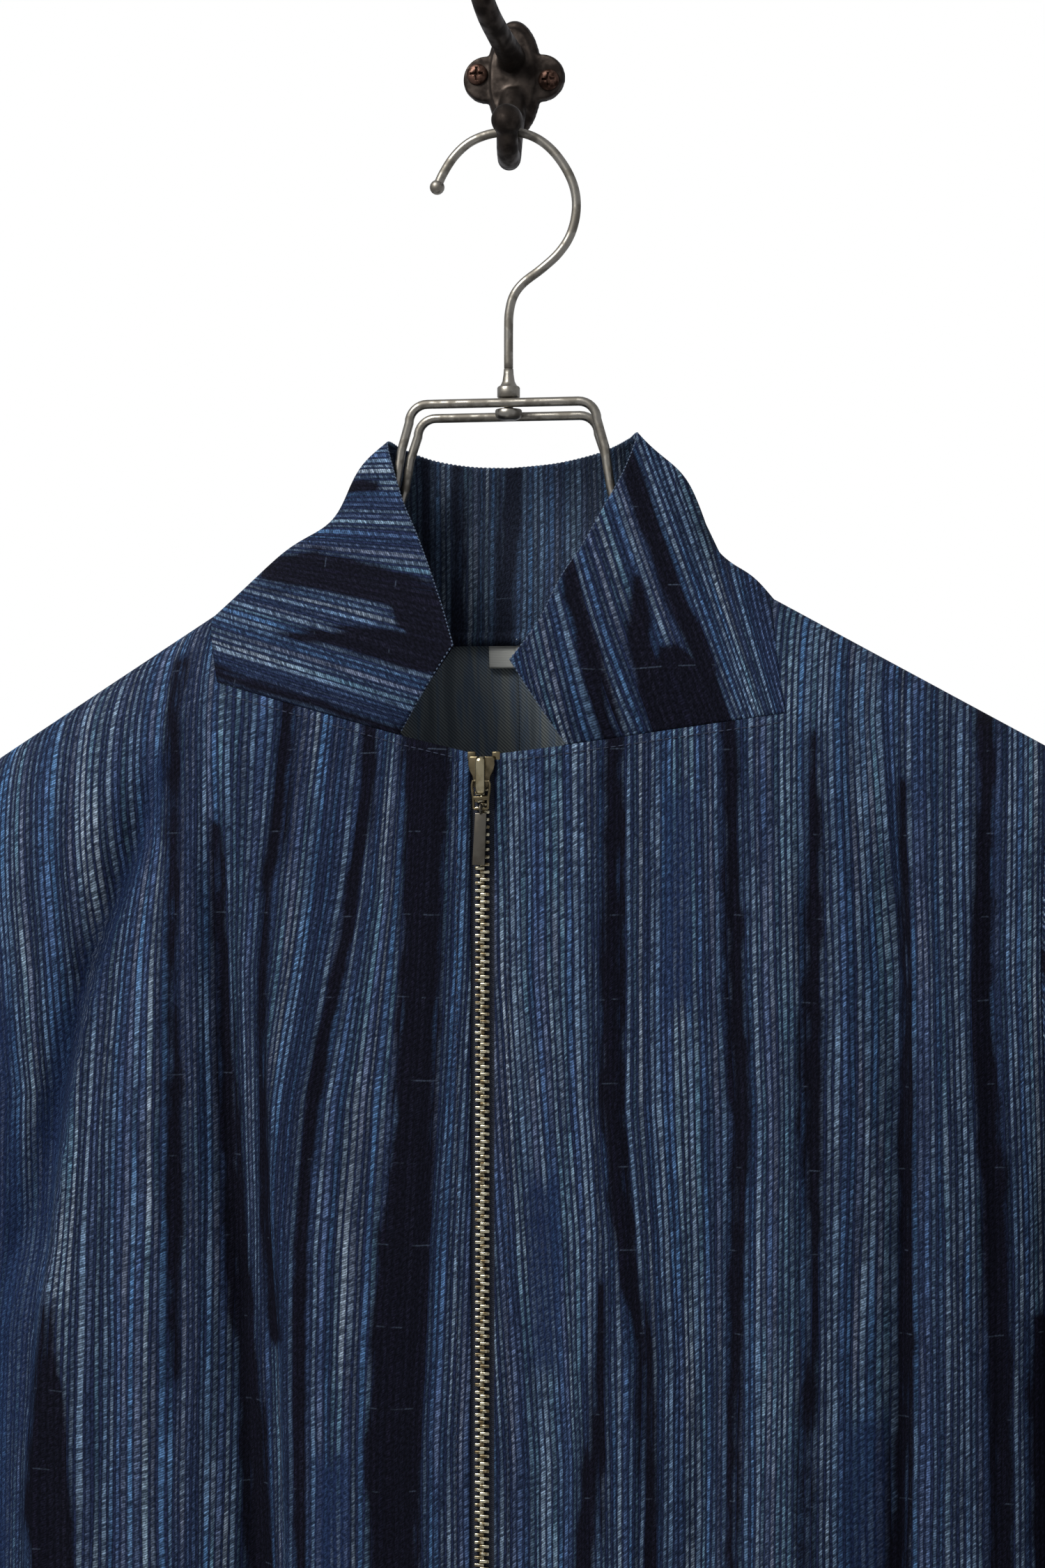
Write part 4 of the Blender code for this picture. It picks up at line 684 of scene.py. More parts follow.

# %% [markdown]
# ## Dark bands
# Bands of the warp were tied off before dyeing and came out nearly black. Each is a line
# down the cloth with a half width that changes, and the threads beside it darken one by
# one. One band along the right front's side edge is painted shade, where the body's side
# turns away into shadow. Broad smears of middle blue lie where the dye ran; the one down
# the left front's diagonal fold is painted shade on the fold's shadow side, and one lies
# close along the left front's side edge, darker towards it.

# %% Dark bands, smears and painted shade: height, distance from the middle, half width
BANDS_AND_EDGE_SHADE = {
    "front_left": (
        ((-268, 21, 8.9), (-343, 23.4, 7.3), (-418, 26.7, 7.9), (-489, 31.3, 9.9),
         (-554, 34.7, 10.2), (-600, 33.8, 8.8), (-700, 31, 9), (-830, 33, 8)),
        ((-272, 44.0, 2.7), (-302, 45.3, 2.7), (-367, 56.6, 2.7), (-398, 64.4, 3.0),
         (-452, 71.8, 2.4), (-516, 73.9, 3.2), (-602, 72.4, 2.4), (-760, 70, 3.4), (-830, 70, 3)),
        ((-262, 77.8, 3.0), (-315, 82.6, 3.7), (-341, 87.3, 2.4), (-399, 90.1, 1.7),
         (-459, 88.4, 2.0), (-516, 83.3, 2.4)),
        ((-312, 108.6, 1.4), (-399, 105.5, 2.6), (-471, 101.7, 4.2), (-556, 92.8, 5.1),
         (-603, 90.8, 5.8), (-700, 86, 4), (-830, 80, 5)),
        ((-246, 126.3, 2.4), (-381, 125.6, 2.1), (-452, 123.9, 3.1), (-531, 123.9, 1.0)),
        ((-506, 180.7, 1.2), (-542, 179.6, 6.2), (-588, 178.7, 11.3), (-610, 175.9, 10.8),
         (-700, 172, 9), (-830, 168, 5)),
        ((-640, 128, 3), (-740, 126, 4.5), (-830, 124, 4)),
    ),
    "front_right": (
        ((-258, 51.2, 3.4), (-353, 50.2, 3.9), (-416, 49.9, 4.5), (-473, 54.8, 3.7),
         (-512, 62.8, 2.3), (-576, 65.3, 2.2), (-640, 65.6, 1.9)),
        ((-489, 47.3, 1.0), (-551, 44.0, 3.6), (-597, 40.2, 3.6), (-700, 40, 5), (-830, 42, 5)),
        ((-262, 95.7, 2.5), (-353, 97.0, 3.8), (-416, 100.1, 4.4), (-435, 100.4, 4.1),
         (-453, 98.7, 2.7), (-523, 97.0, 2.5), (-640, 95.2, 2.0)),
        ((-276, 127.7, 0.9), (-321, 128.6, 3.2), (-396, 127.3, 4.4), (-454, 128.0, 3.8),
         (-472, 128.0, 2.5), (-574, 124.8, 1.9), (-700, 122, 3), (-830, 123, 4)),
        ((-296, 160.5, 1.3), (-390, 162.8, 1.6), (-441, 161.9, 3.1), (-459, 162.3, 2.3),
         (-523, 161.9, 3.1), (-594, 158.7, 3.8), (-700, 158, 2.4)),
        ((-262, 193.5, 3.4), (-302, 192.9, 2.8), (-378, 191.0, 4.1), (-422, 193.5, 4.1),
         (-447, 195.7, 4.4), (-550, 198.5, 3.5), (-700, 198.5, 3.5)),
        # painted shade: the right front's side edge, where the body turns away into shadow
        ((-500, 214, 4), (-530, 216, 8), (-600, 217, 7), (-700, 216, 6), (-830, 215, 4)),
        ((-690, 74, 6), (-760, 72, 8), (-830, 70, 7)),
    ),
    "back_left": (
        ((-225, 40, 6), (-340, 44, 8), (-480, 46, 5), (-640, 44, 9), (-830, 46, 7)),
        ((-235, 92, 3), (-420, 90, 4), (-560, 94, 3)),
        ((-430, 128, 5), (-640, 124, 8), (-830, 126, 6)),
        ((-300, 160, 3), (-520, 164, 4), (-700, 166, 3)),
        ((-560, 14, 3), (-720, 16, 6), (-830, 14, 5)),
    ),
    "back_right": (
        ((-225, 26, 4), (-380, 28, 6), (-520, 30, 3)),
        ((-260, 78, 8), (-420, 82, 6), (-600, 80, 9), (-830, 82, 7)),
        ((-250, 130, 4), (-400, 134, 5), (-590, 132, 3)),
        ((-520, 166, 6), (-690, 168, 8), (-830, 166, 6)),
        ((-600, 46, 3), (-740, 44, 4), (-830, 46, 3)),
    ),
}
SMEARS_AND_FOLD_SHADE = {
    "front_left": (
        # painted shade: the shadow side of the diagonal fold down the left front
        ((-286, 131, 2.8), (-310, 137.3, 3.4), (-332, 145.3, 4.0), (-368, 160.4, 4.5),
         (-400, 171.1, 5.5), (-441, 181.5, 6.6), (-479, 188.3, 6.6),
         (-519, 193.3, 6.6), (-560, 195.0, 6.0)),
        # a darker blue close along the left front's side edge
        ((-350, 204, 4), (-400, 203, 9), (-480, 206, 12), (-600, 206, 11), (-700, 206, 8)),
        ((-560, 60, 6), (-640, 58, 6)),
    ),
    "front_right": (((-300, 76, 5), (-380, 76, 5)), ((-540, 146, 6), (-640, 146, 6)),
                    ((-450, 24, 5), (-520, 24, 5))),
    "back_left": (((-300, 70, 8), (-400, 70, 8)), ((-600, 70, 8), (-700, 70, 8))),
    "back_right": (((-340, 54, 8), (-440, 54, 8)), ((-640, 110, 8), (-740, 110, 8))),
}


def inside_band(bands, across, height, end_soft=7.0):
    """Depth inside the nearest band, in mm: positive within it, negative outside."""
    best = -30.0
    for band in bands:
        if height > band[0][0] + 12 or height < band[-1][0] - 12:
            continue
        at = min(max(height, band[-1][0]), band[0][0])
        for (z0, x0, w0), (z1, x1, w1) in zip(band, band[1:]):
            if z1 <= at <= z0:
                share = (z0 - at) / (z0 - z1)
                depth = mix(w0, w1, share) - abs(across - mix(x0, x1, share))
                past = min(band[0][0] - height, height - band[-1][0])
                best = max(best, min(depth, past * 8.0 / end_soft))
                break
    return best


print("bands on the fronts:", len(BANDS_AND_EDGE_SHADE["front_left"]), len(BANDS_AND_EDGE_SHADE["front_right"]))

# %% [markdown]
# ## From points to cloth
# A sheet of points becomes a thin closed wall: the outer skin, the same skin a cloth's
# thickness further in, and a rim. Points that meet across a seam share one direction,
# so the walls of two panels stay the same distance apart all the way through.

# %% Sheets and walls
def sheet_normals(points, outward, ring):
    """Unit directions out of the cloth, from each point's neighbours."""
    last = len(points) - 1
    normals = []
    for r, row in enumerate(points):
        above, below = points[max(r - 1, 0)], points[min(r + 1, last)]
        line = []
        for c, point in enumerate(row):
            if point is None:
                line.append(None)
                continue
            if ring:
                left, right = row[c - 1], row[(c + 1) % len(row)]
            else:
                left = (row[c - 1] if c else None) or point
                right = (row[c + 1] if c + 1 < len(row) else None) or point
            up = above[c] or point
            line.append((right - left).cross(below[c] - up).normalized() * outward)
        normals.append(line)
    return normals


def sheet(name, points, outward, threads, ring=False, bands=None):
    """A named sheet with its thread lengths (across, along) and dye and painted shade at each
    point.
    """
    return {"name": name, "points": points, "outward": outward, "ring": ring,
            "threads": threads, "bands": bands,
            "normals": sheet_normals(points, outward, ring)}


def share_normals(sheets, reach=1.3):
    """Points that meet across a seam get one common direction."""
    places = [(one, r, c) for one in sheets for r, row in enumerate(one["points"])
              for c, point in enumerate(row) if point is not None]
    tree = kdtree.KDTree(len(places))
    for index, (one, r, c) in enumerate(places):
        tree.insert(one["points"][r][c], index)
    tree.balance()
    shared = []
    for one, r, c in places:
        total = Vector((0, 0, 0))
        for _, index, _ in tree.find_range(one["points"][r][c], reach):
            other, row, column = places[index]
            total += other["normals"][row][column]
        shared.append(total.normalized())
    for (one, r, c), normal in zip(places, shared):
        one["normals"][r][c] = normal


def build_wall(one, outer_material, inner_material, thickness=CLOTH):
    """Close a sheet into a wall with a thread map and its dye and painted shade values."""
    mesh = bpy.data.meshes.new(one["name"])
    shape = bmesh.new()
    thread_map = shape.loops.layers.uv.new("threads")
    dye_and_shade_layer = shape.verts.layers.float.new("dye_and_shade")
    smear_and_shade_layer = shape.verts.layers.float.new("smear_and_shade")
    outer, inner = {}, {}
    for r, row in enumerate(one["points"]):
        for c, point in enumerate(row):
            if point is None:
                continue
            outer[r, c] = shape.verts.new(point * MM)
            inner[r, c] = shape.verts.new((point - one["normals"][r][c] * thickness) * MM)
            dye_and_shade, smear_and_shade = one["bands"](r, c) if one["bands"] else (-30.0, -30.0)
            for vert in (outer[r, c], inner[r, c]):
                vert[dye_and_shade_layer] = dye_and_shade
                vert[smear_and_shade_layer] = smear_and_shade

    def face(verts, places, material_index):
        made = shape.faces.new(verts)
        made.smooth = True
        made.material_index = material_index
        for loop, place in zip(made.loops, places):
            loop[thread_map].uv = place

    threads = one["threads"]
    open_edges = {}
    for r in range(len(one["points"]) - 1):
        columns = len(one["points"][r])
        for c in range(columns if one["ring"] else columns - 1):
            corner = [(r, c), (r, (c + 1) % columns), (r + 1, (c + 1) % columns), (r + 1, c)]
            if any(place not in outer for place in corner):
                continue
            real = [(r, c), (r, c + 1), (r + 1, c + 1), (r + 1, c)]
            lengths = [Vector(threads(*place, c + 0.5)) * MM for place in real]
            if one["outward"] < 0:
                corner.reverse()
                lengths.reverse()
            face([outer[place] for place in reversed(corner)], lengths[::-1], 0)
            face([inner[place] for place in corner], lengths, 1)
            for k in range(4):
                start, end = corner[k], corner[(k + 1) % 4]
                if (end, start) in open_edges:
                    del open_edges[end, start]
                else:
                    open_edges[start, end] = (lengths[k], lengths[(k + 1) % 4])
    for (start, end), (a, b) in open_edges.items():
        face([outer[start], outer[end], inner[end], inner[start]], (a, b, b, a), 0)
    bmesh.ops.recalc_face_normals(shape, faces=shape.faces)
    shape.to_mesh(mesh)
    shape.free()
    made = bpy.data.objects.new("cloth_" + one["name"], mesh)
    bpy.context.scene.collection.objects.link(made)
    mesh.materials.append(outer_material)
    mesh.materials.append(inner_material)
    return made


print("wall thickness", CLOTH, "mm")

# %% Thread lengths of each piece
def panel_threads(side, face):
    """Across is the thread's place in the cloth; along is the height."""
    rows = cells[side, face]
    xs, arc = arc_table(FRONT_DEPTH if face == FRONT else BACK_DEPTH)
    places = [[None if cell is None else thread_place(side, face, cell[0], cell[1], xs, arc)
               for cell in row] for row in rows]

    def threads(r, c, quad):
        if rows[r][c] is None:
            return (0.0, 0.0)
        return (side * places[r][c] + 600.0 * (face + 2), -rows[r][c][1])

    return threads


def panel_bands(name, side, face):
    """Depth inside the bands and smears at each point of a panel; one band and one smear of the
    fronts are painted shade.
    """
    rows = cells[side, face]

    def bands(r, c):
        x, z, _ = rows[r][c]
        return inside_band(BANDS_AND_EDGE_SHADE[name], x, z), inside_band(SMEARS_AND_FOLD_SHADE[name], x, z, 14.0)

    return bands


def sleeve_threads(side):
    """Across runs round the sleeve from its outer side; along runs down the cloth."""
    count = len(sleeves[side][0])
    round_length = [sum((row[k] - row[k - 1]).length for k in range(count))
                    for row in sleeves[side]]
    down = [0.0]
    for above, below in zip(sleeves[side], sleeves[side][1:]):
        down.append(down[-1] + (below[count // 4] - above[count // 4]).length)

    def threads(r, c, quad):
        turn = c / count
        if quad / count > 0.5:
            turn -= 1.0
        return (turn * round_length[r] + 3000.0 * side, down[r] + 250.0)

    return threads


SLEEVE_BANDS = {
    LEFT: (((0, -70, 6), (-180, -66, 8), (-330, -70, 5), (-560, -68, 8)),
           ((-60, 18, 4), (-240, 22, 7), (-430, 20, 5)),
           ((0, 66, 7), (-200, 70, 9), (-420, 66, 6), (-620, 68, 7)),
           ((-300, -24, 3), (-460, -20, 6), (-620, -22, 5)),
           ((0, 112, 4), (-300, 116, 6), (-620, 114, 5)),
           ((0, -116, 5), (-250, -112, 7), (-620, -114, 5))),
    RIGHT: (((0, -64, 5), (-160, -60, 8), (-380, -62, 5), (-620, -64, 7)),
            ((0, 26, 4), (-220, 30, 6), (-400, 28, 3)),
            ((-120, 72, 6), (-300, 76, 8), (-620, 74, 6)),
            ((-260, -14, 4), (-450, -18, 7), (-620, -14, 4)),
            ((0, 118, 5), (-260, 114, 7), (-620, 118, 4)),
            ((0, -112, 4), (-320, -116, 6), (-620, -112, 5))),
}


def sleeve_bands(side):
    """Depth inside the bands at each point of a sleeve."""
    plain = sleeve_threads(side)

    def bands(r, c):
        across, down = plain(r, c, c)
        return inside_band(SLEEVE_BANDS[side], across - 3000.0 * side, 250.0 - down), -30.0

    return bands


sleeve_end = sleeve_threads(LEFT)(len(sleeves[LEFT]) - 1, 0, 0)
print("sleeve length along the cloth:", round(sleeve_end[1] - 250), "mm")

# %% [markdown]
# ## Collar threads
# The left half of the collar was cut across the stripes and the right half along them,
# so the lines lie nearly level on one side and nearly upright on the other. On both
# they fan a little, because the cloth is drawn round the neck.

# %% Collar threads and bands
def left_collar_place(point):
    """(level thread, place along it) of a point on the left half."""
    x = point.x - CENTRE_X
    level = point.z
    for _ in range(3):
        slope = mix(0.30, 0.06, smooth((level + 246.0) / 74.0))
        level = point.z + slope * (x + 70.0)
    return level, x


def right_collar_place(point):
    """(upright thread, place along it) of a point on the right half."""
    x = point.x - CENTRE_X
    upright = x
    for _ in range(3):
        slope = mix(0.27, 0.40, smooth(upright / 45.0)) - 0.1 * smooth((upright - 60.0) / 30.0)
        upright = x - slope * (-165.0 - point.z)
    return upright, -point.z


def collar_threads(name):
    """Thread lengths of a collar piece, each from its own fan of threads."""
    points = COLLARS[name]

    def threads(r, c, quad):
        point = points[r][c]
        if name == "collar_left":
            level, x = left_collar_place(point)
            return (level + 5200.0, x + 800.0)
        if name == "collar_right":
            upright, down = right_collar_place(point)
            return (upright + 6200.0, down)
        return (point.x + 7200.0, -point.z)

    return threads


COLLARS = {"collar_left": wings[LEFT], "collar_right": wings[RIGHT], "collar_back": collar_back}
# On the left half: distance left of the middle, height, half width
COLLAR_BANDS = {
    "collar_left": (
        ((98, -209, 4.5), (92, -210.5, 5.5), (74, -210.5, 8.5), (50, -216.5, 7), (38, -220.5, 7),
         (30, -228, 11.5), (20, -236, 17), (8, -242, 16)),
        ((86, -236.5, 0.8), (63, -239, 3.2), (41.5, -241.3, 6.3), (30, -244, 9), (12, -247, 8)),
        ((112, -251.5, 3), (70, -263.5, 2.6), (30, -277, 2.4)),
        ((110, -180, 3), (60, -176, 2), (50, -176, 1)),
    ),
    "collar_right": (
        ((-150, 45, 2.6), (-170, 52.5, 3.4), (-187, 59.4, 3.8), (-209, 68.2, 3.9),
         (-226.6, 75.4, 3.9), (-240, 82, 4.2), (-285, 97, 4.2)),
        ((-243, 72, 4), (-250, 76, 9.5), (-258, 80, 12.5), (-290, 85, 12.5)),
        ((-214, 58, 1.5), (-226, 60, 3), (-243, 61, 3.4), (-256, 65, 5), (-290, 74, 6)),
        ((-206, 29.5, 2.6), (-236, 38.2, 3.6), (-257, 44.5, 4.8), (-290, 52, 4.2)),
    ),
    "collar_back": (
        ((-150, -38, 2.6), (-240, -39, 3.4)), ((-150, -25, 1.6), (-240, -26, 2.2)),
        ((-150, -1.5, 3.6), (-240, -6, 4.0)),
        ((-150, 64, 5), (-240, 60, 5)), ((-150, -70, 4), (-240, -72, 4)),
    ),
}


def collar_bands(name):
    """Depth inside the dark bands at each point of a collar piece."""
    points = COLLARS[name]

    def bands(r, c):
        point = points[r][c]
        if name == "collar_left":
            return inside_band(COLLAR_BANDS[name], point.z, CENTRE_X - point.x, 5.0), -30.0
        return inside_band(COLLAR_BANDS[name], point.x - CENTRE_X, point.z), -30.0

    return bands


print("collar bands:", {name: len(bands) for name, bands in COLLAR_BANDS.items()})

# %% [markdown]
# ## Striped indigo twill
# The cloth is cotton twill with a yarn-dyed warp. Pale threads and dark threads lie side
# by side about 2.3 mm apart, and no two pale ones took the dye alike: some are grey,
# some blue, some nearly violet, and each fades and darkens slowly along its length. The
# twill's floats show as beads on the pale threads. Cotton is matt, so roughness is high.

# %% Cloth colours, in sRGB
THREAD_PITCH = 2.3        # mm between pale threads
FLOAT_PITCH = 0.95        # mm between floats of the twill along a thread
TICK_PITCH = 32.0         # mm between the pale crossing threads that show in the dark bands
GROUND = "#141c2e"
BAND = "#0c0c14"
PALE_THREADS = ((0.0, "#6a86a4"), (0.18, "#8195a8"), (0.36, "#557ca6"), (0.54, "#52688f"),
                (0.70, "#6d7688"), (0.84, "#62869c"), (1.0, "#909fae"))
# middle blue of the dye smears, also the painted shade along the left front's fold
SMEAR_AND_SHADE_BLUE = "#1a2642"


def ramp(tree, share, stops, ease="LINEAR"):
    """Colour ramp through sRGB stops."""
    made = put(tree, "ValToRGB", {"Fac": share}).node
    made.color_ramp.interpolation = ease
    elements = made.color_ramp.elements
    while len(elements) < len(stops):
        elements.new(0.5)
    for element, (place, colour) in zip(elements, stops):
        element.position = place
        element.color = linear(colour)
    return made.outputs["Color"]


def thread_lengths(tree):
    """Millimetres across and along the threads, from the thread map."""
    place = put(tree, "UVMap", uv_map="threads")
    parts = put(tree, "SeparateXYZ", {"Vector": place}).node
    across = put(tree, "Math", {0: parts.outputs["X"], 1: 1000.0}, operation="MULTIPLY")
    down = put(tree, "Math", {0: parts.outputs["Y"], 1: 1000.0}, operation="MULTIPLY")
    return across, down


def plane_noise(tree, x, y, x_scale, y_scale, detail=1.0):
    """Soft noise over two lengths, each with its own scale."""
    a = put(tree, "Math", {0: x, 1: x_scale}, operation="MULTIPLY")
    b = put(tree, "Math", {0: y, 1: y_scale}, operation="MULTIPLY")
    place = put(tree, "CombineXYZ", {"X": a, "Y": b})
    return put(tree, "TexNoise", {"Vector": place, "Scale": 1.0, "Detail": detail},
               noise_dimensions="2D")


def ease_range(tree, value, low, high, to_low=0.0, to_high=1.0):
    """Eased ramp of a value from one range into another."""
    return put(tree, "MapRange", {"Value": value, "From Min": low, "From Max": high,
                                  "To Min": to_low, "To Max": to_high},
               interpolation_type="SMOOTHSTEP")


def striped_twill(name, ground_colour=GROUND, band_colour=BAND, clear=1.0):
    """Warp-striped twill; clear is how strongly the pale threads stand out."""
    material, tree, shader = new_material(name, 0.92)
    across, down = thread_lengths(tree)
    sway = plane_noise(tree, across, down, 0.06, 0.006)
    sway = put(tree, "MapRange", {"Value": sway, "To Min": -0.9, "To Max": 0.9})
    uneven = plane_noise(tree, across, down, 0.45, 0.02)
    uneven = put(tree, "MapRange", {"Value": uneven, "To Min": -0.55, "To Max": 0.55})
    lines = put(tree, "Math", {0: across, 1: sway}, operation="ADD")
    lines = put(tree, "Math", {0: lines, 1: uneven}, operation="ADD")
    count = put(tree, "Math", {0: lines, 1: THREAD_PITCH}, operation="DIVIDE")
    index = put(tree, "Math", {0: count}, operation="FLOOR")
    beside = put(tree, "Math", {0: count}, operation="FRACT")
    beside = put(tree, "Math", {0: beside, 1: 0.5}, operation="SUBTRACT")
    beside = put(tree, "Math", {0: beside}, operation="ABSOLUTE")
    dyed = put(tree, "TexWhiteNoise", {"W": index}, noise_dimensions="1D", out="Value")
    other = put(tree, "Math", {0: index, 1: 71.7}, operation="ADD")
    wide = put(tree, "TexWhiteNoise", {"W": other}, noise_dimensions="1D", out="Value")

    # pale thread: a soft ridge across, of a width that differs from thread to thread
    half = put(tree, "MapRange", {"Value": wide, "To Min": 0.17, "To Max": 0.33})
    inner = put(tree, "Math", {0: half, 1: 0.12}, operation="SUBTRACT")
    outer = put(tree, "Math", {0: half, 1: 0.12}, operation="ADD")
    pale = put(tree, "MapRange", {"Value": beside, "From Min": outer, "From Max": inner},
               interpolation_type="SMOOTHSTEP")
    seat = put(tree, "Math", {0: index, 1: 3.71}, operation="MULTIPLY")
    slow = plane_noise(tree, seat, down, 1.0, 0.022)
    slow = ease_range(tree, slow, 0.28, 0.62, 0.46, 0.96)
    own = ease_range(tree, wide, 0.05, 0.5, 0.45, 1.0)
    slow = put(tree, "Math", {0: slow, 1: own}, operation="MULTIPLY")
    grain = put(tree, "Math", {0: down, 1: FLOAT_PITCH}, operation="DIVIDE")
    lean = put(tree, "Math", {0: lines, 1: 1.35}, operation="DIVIDE")
    grain = put(tree, "Math", {0: grain, 1: lean}, operation="ADD")
    float_place = put(tree, "Math", {0: grain}, operation="FRACT")
    float_place = put(tree, "Math", {0: float_place, 1: 0.5}, operation="SUBTRACT")
    float_place = put(tree, "Math", {0: float_place}, operation="ABSOLUTE")
    bead = ease_range(tree, float_place, 0.5, 0.12)
    float_index = put(tree, "Math", {0: grain}, operation="FLOOR")
    float_seat = put(tree, "CombineXYZ", {"X": float_index, "Y": index})
    chance = put(tree, "TexWhiteNoise", {"Vector": float_seat}, noise_dimensions="2D",
                 out="Value")
    chance = put(tree, "MapRange", {"Value": chance, "To Min": 0.2, "To Max": 1.18 * clear})
    bead_light = put(tree, "MapRange", {"Value": bead, "To Min": 0.34, "To Max": 1.0})
    strength = put(tree, "Math", {0: pale, 1: slow}, operation="MULTIPLY")
    strength = put(tree, "Math", {0: strength, 1: bead_light}, operation="MULTIPLY")
    strength = put(tree, "Math", {0: strength, 1: chance}, operation="MULTIPLY")

    # the threads beside a tied band took more and more dye; beside the band of painted shade
    # at the right front's side edge the same darkening is painted shade too
    dye_and_shade = put(tree, "Attribute", attribute_name="dye_and_shade", out="Fac")
    step = put(tree, "MapRange", {"Value": dyed, "To Min": -1.3, "To Max": 1.3})
    ragged = plane_noise(tree, seat, down, 1.3, 0.05)
    ragged = put(tree, "MapRange", {"Value": ragged, "To Min": -2.4, "To Max": 2.4})
    dye_and_shade = put(tree, "Math", {0: dye_and_shade, 1: step}, operation="ADD")
    dye_and_shade = put(tree, "Math", {0: dye_and_shade, 1: ragged}, operation="ADD")
    near = ease_range(tree, dye_and_shade, -6.5, 0.0, 1.0, 0.36)
    strength = put(tree, "Math", {0: strength, 1: near}, operation="MULTIPLY")
    band_and_shade_mask = ease_range(tree, dye_and_shade, -1.6, 1.3, 0.0, 0.97)

    # a faint second thread lies in each gap, and slow clouds of more or less dye
    gap = ease_range(tree, beside, 0.34, 0.5, 0.0, 0.30)
    gap = put(tree, "Math", {0: gap, 1: bead_light}, operation="MULTIPLY")
    ground = put(tree, "Mix", {0: gap, 6: linear(ground_colour), 7: linear("#363c62")},
                 data_type="RGBA", out=2)
    hue = plane_noise(tree, across, down, 0.09, 0.012)
    hue = put(tree, "MapRange", {"Value": hue, "To Min": -0.24, "To Max": 0.24})
    hue = put(tree, "Math", {0: dyed, 1: hue}, operation="ADD")
    threads = ramp(tree, hue, PALE_THREADS)
    cloth = put(tree, "Mix", {0: strength, 6: ground, 7: threads}, data_type="RGBA", out=2)

    # smears of middle blue, one of them painted shade along a fold, then the dark bands,
    # one of them painted shade, with their thin crossing threads
    smear_and_shade = put(tree, "Attribute", attribute_name="smear_and_shade", out="Fac")
    jitter = put(tree, "MapRange", {"Value": wide, "To Min": -2.0, "To Max": 2.0})
    smear_and_shade = put(tree, "Math", {0: smear_and_shade, 1: jitter}, operation="ADD")
    smear_and_shade = ease_range(tree, smear_and_shade, -3.5, 3.0, 0.0, 0.72)
    cloth = put(tree, "Mix", {0: smear_and_shade, 6: cloth, 7: linear(SMEAR_AND_SHADE_BLUE)}, data_type="RGBA", out=2)
    trace = put(tree, "Math", {0: strength, 1: 0.22}, operation="MULTIPLY")
    band = put(tree, "Mix", {0: trace, 6: linear(band_colour), 7: linear("#40385c")},
               data_type="RGBA", out=2)
    tick = put(tree, "Math", {0: down, 1: TICK_PITCH}, operation="DIVIDE")
    tick = put(tree, "Math", {0: tick, 1: 0.656}, operation="ADD")
    bow = plane_noise(tree, across, down, 0.03, 0.004)
    bow = put(tree, "MapRange", {"Value": bow, "To Min": -0.06, "To Max": 0.06})
    tick = put(tree, "Math", {0: tick, 1: bow}, operation="ADD")
    tick = put(tree, "Math", {0: tick}, operation="FRACT")
    tick = put(tree, "Math", {0: tick, 1: 0.5}, operation="SUBTRACT")
    tick = put(tree, "Math", {0: tick}, operation="ABSOLUTE")
    tick = ease_range(tree, tick, 0.012, 0.005, 0.0, 1.0)
    broken = plane_noise(tree, across, down, 0.22, 0.03)
    broken = ease_range(tree, broken, 0.48, 0.62, 0.0, 0.13)
    tick = put(tree, "Math", {0: tick, 1: broken}, operation="MULTIPLY")
    band = put(tree, "Mix", {0: tick, 6: band, 7: linear("#6f7f95")}, data_type="RGBA", out=2)
    cloth = put(tree, "Mix", {0: band_and_shade_mask, 6: cloth, 7: band}, data_type="RGBA", out=2)

    # twill lines climb to the right, and no two floats are equally worn
    climb = put(tree, "Math", {0: across, 1: 0.7}, operation="MULTIPLY")
    climb = put(tree, "Math", {0: down, 1: climb}, operation="ADD")
    speckle = plane_noise(tree, across, climb, 1.25, 0.8, 3.0)
    speckle = ease_range(tree, speckle, 0.33, 0.70, 0.62, 1.5)
    cloth = put(tree, "HueSaturation", {"Color": cloth, "Value": speckle})
    tree.links.new(cloth, shader.inputs["Base Color"])

    # the floats stand a tenth of a millimetre proud
    height = put(tree, "Math", {0: bead, 1: pale}, operation="MULTIPLY")
    fuzz = put(tree, "TexNoise", {"Scale": 900.0, "Detail": 2.0})
    height = put(tree, "Math", {0: height, 1: fuzz}, operation="ADD")
    bump = put(tree, "Bump", {"Height": height, "Distance": 0.00014, "Strength": 0.7})
    tree.links.new(bump, shader.inputs["Normal"])
    shader.inputs["Specular IOR Level"].default_value = 0.05
    return material


indigo = striped_twill("indigo_striped_twill")
faded_indigo = striped_twill("faded_striped_twill", "#262e3c", "#1c202b", 0.85)
print("cloth nodes:", len(indigo.node_tree.nodes))

# %% [markdown]
# ## The back of the cloth
# From inside, a twill shows its weft: grey-olive yarn in fine slanting lines, with the
# blue of the warp only as a shade. It is seen through the open neck. The lines lie
# 1.5 mm apart, which is coarser than a fine twill, so that they can be seen.

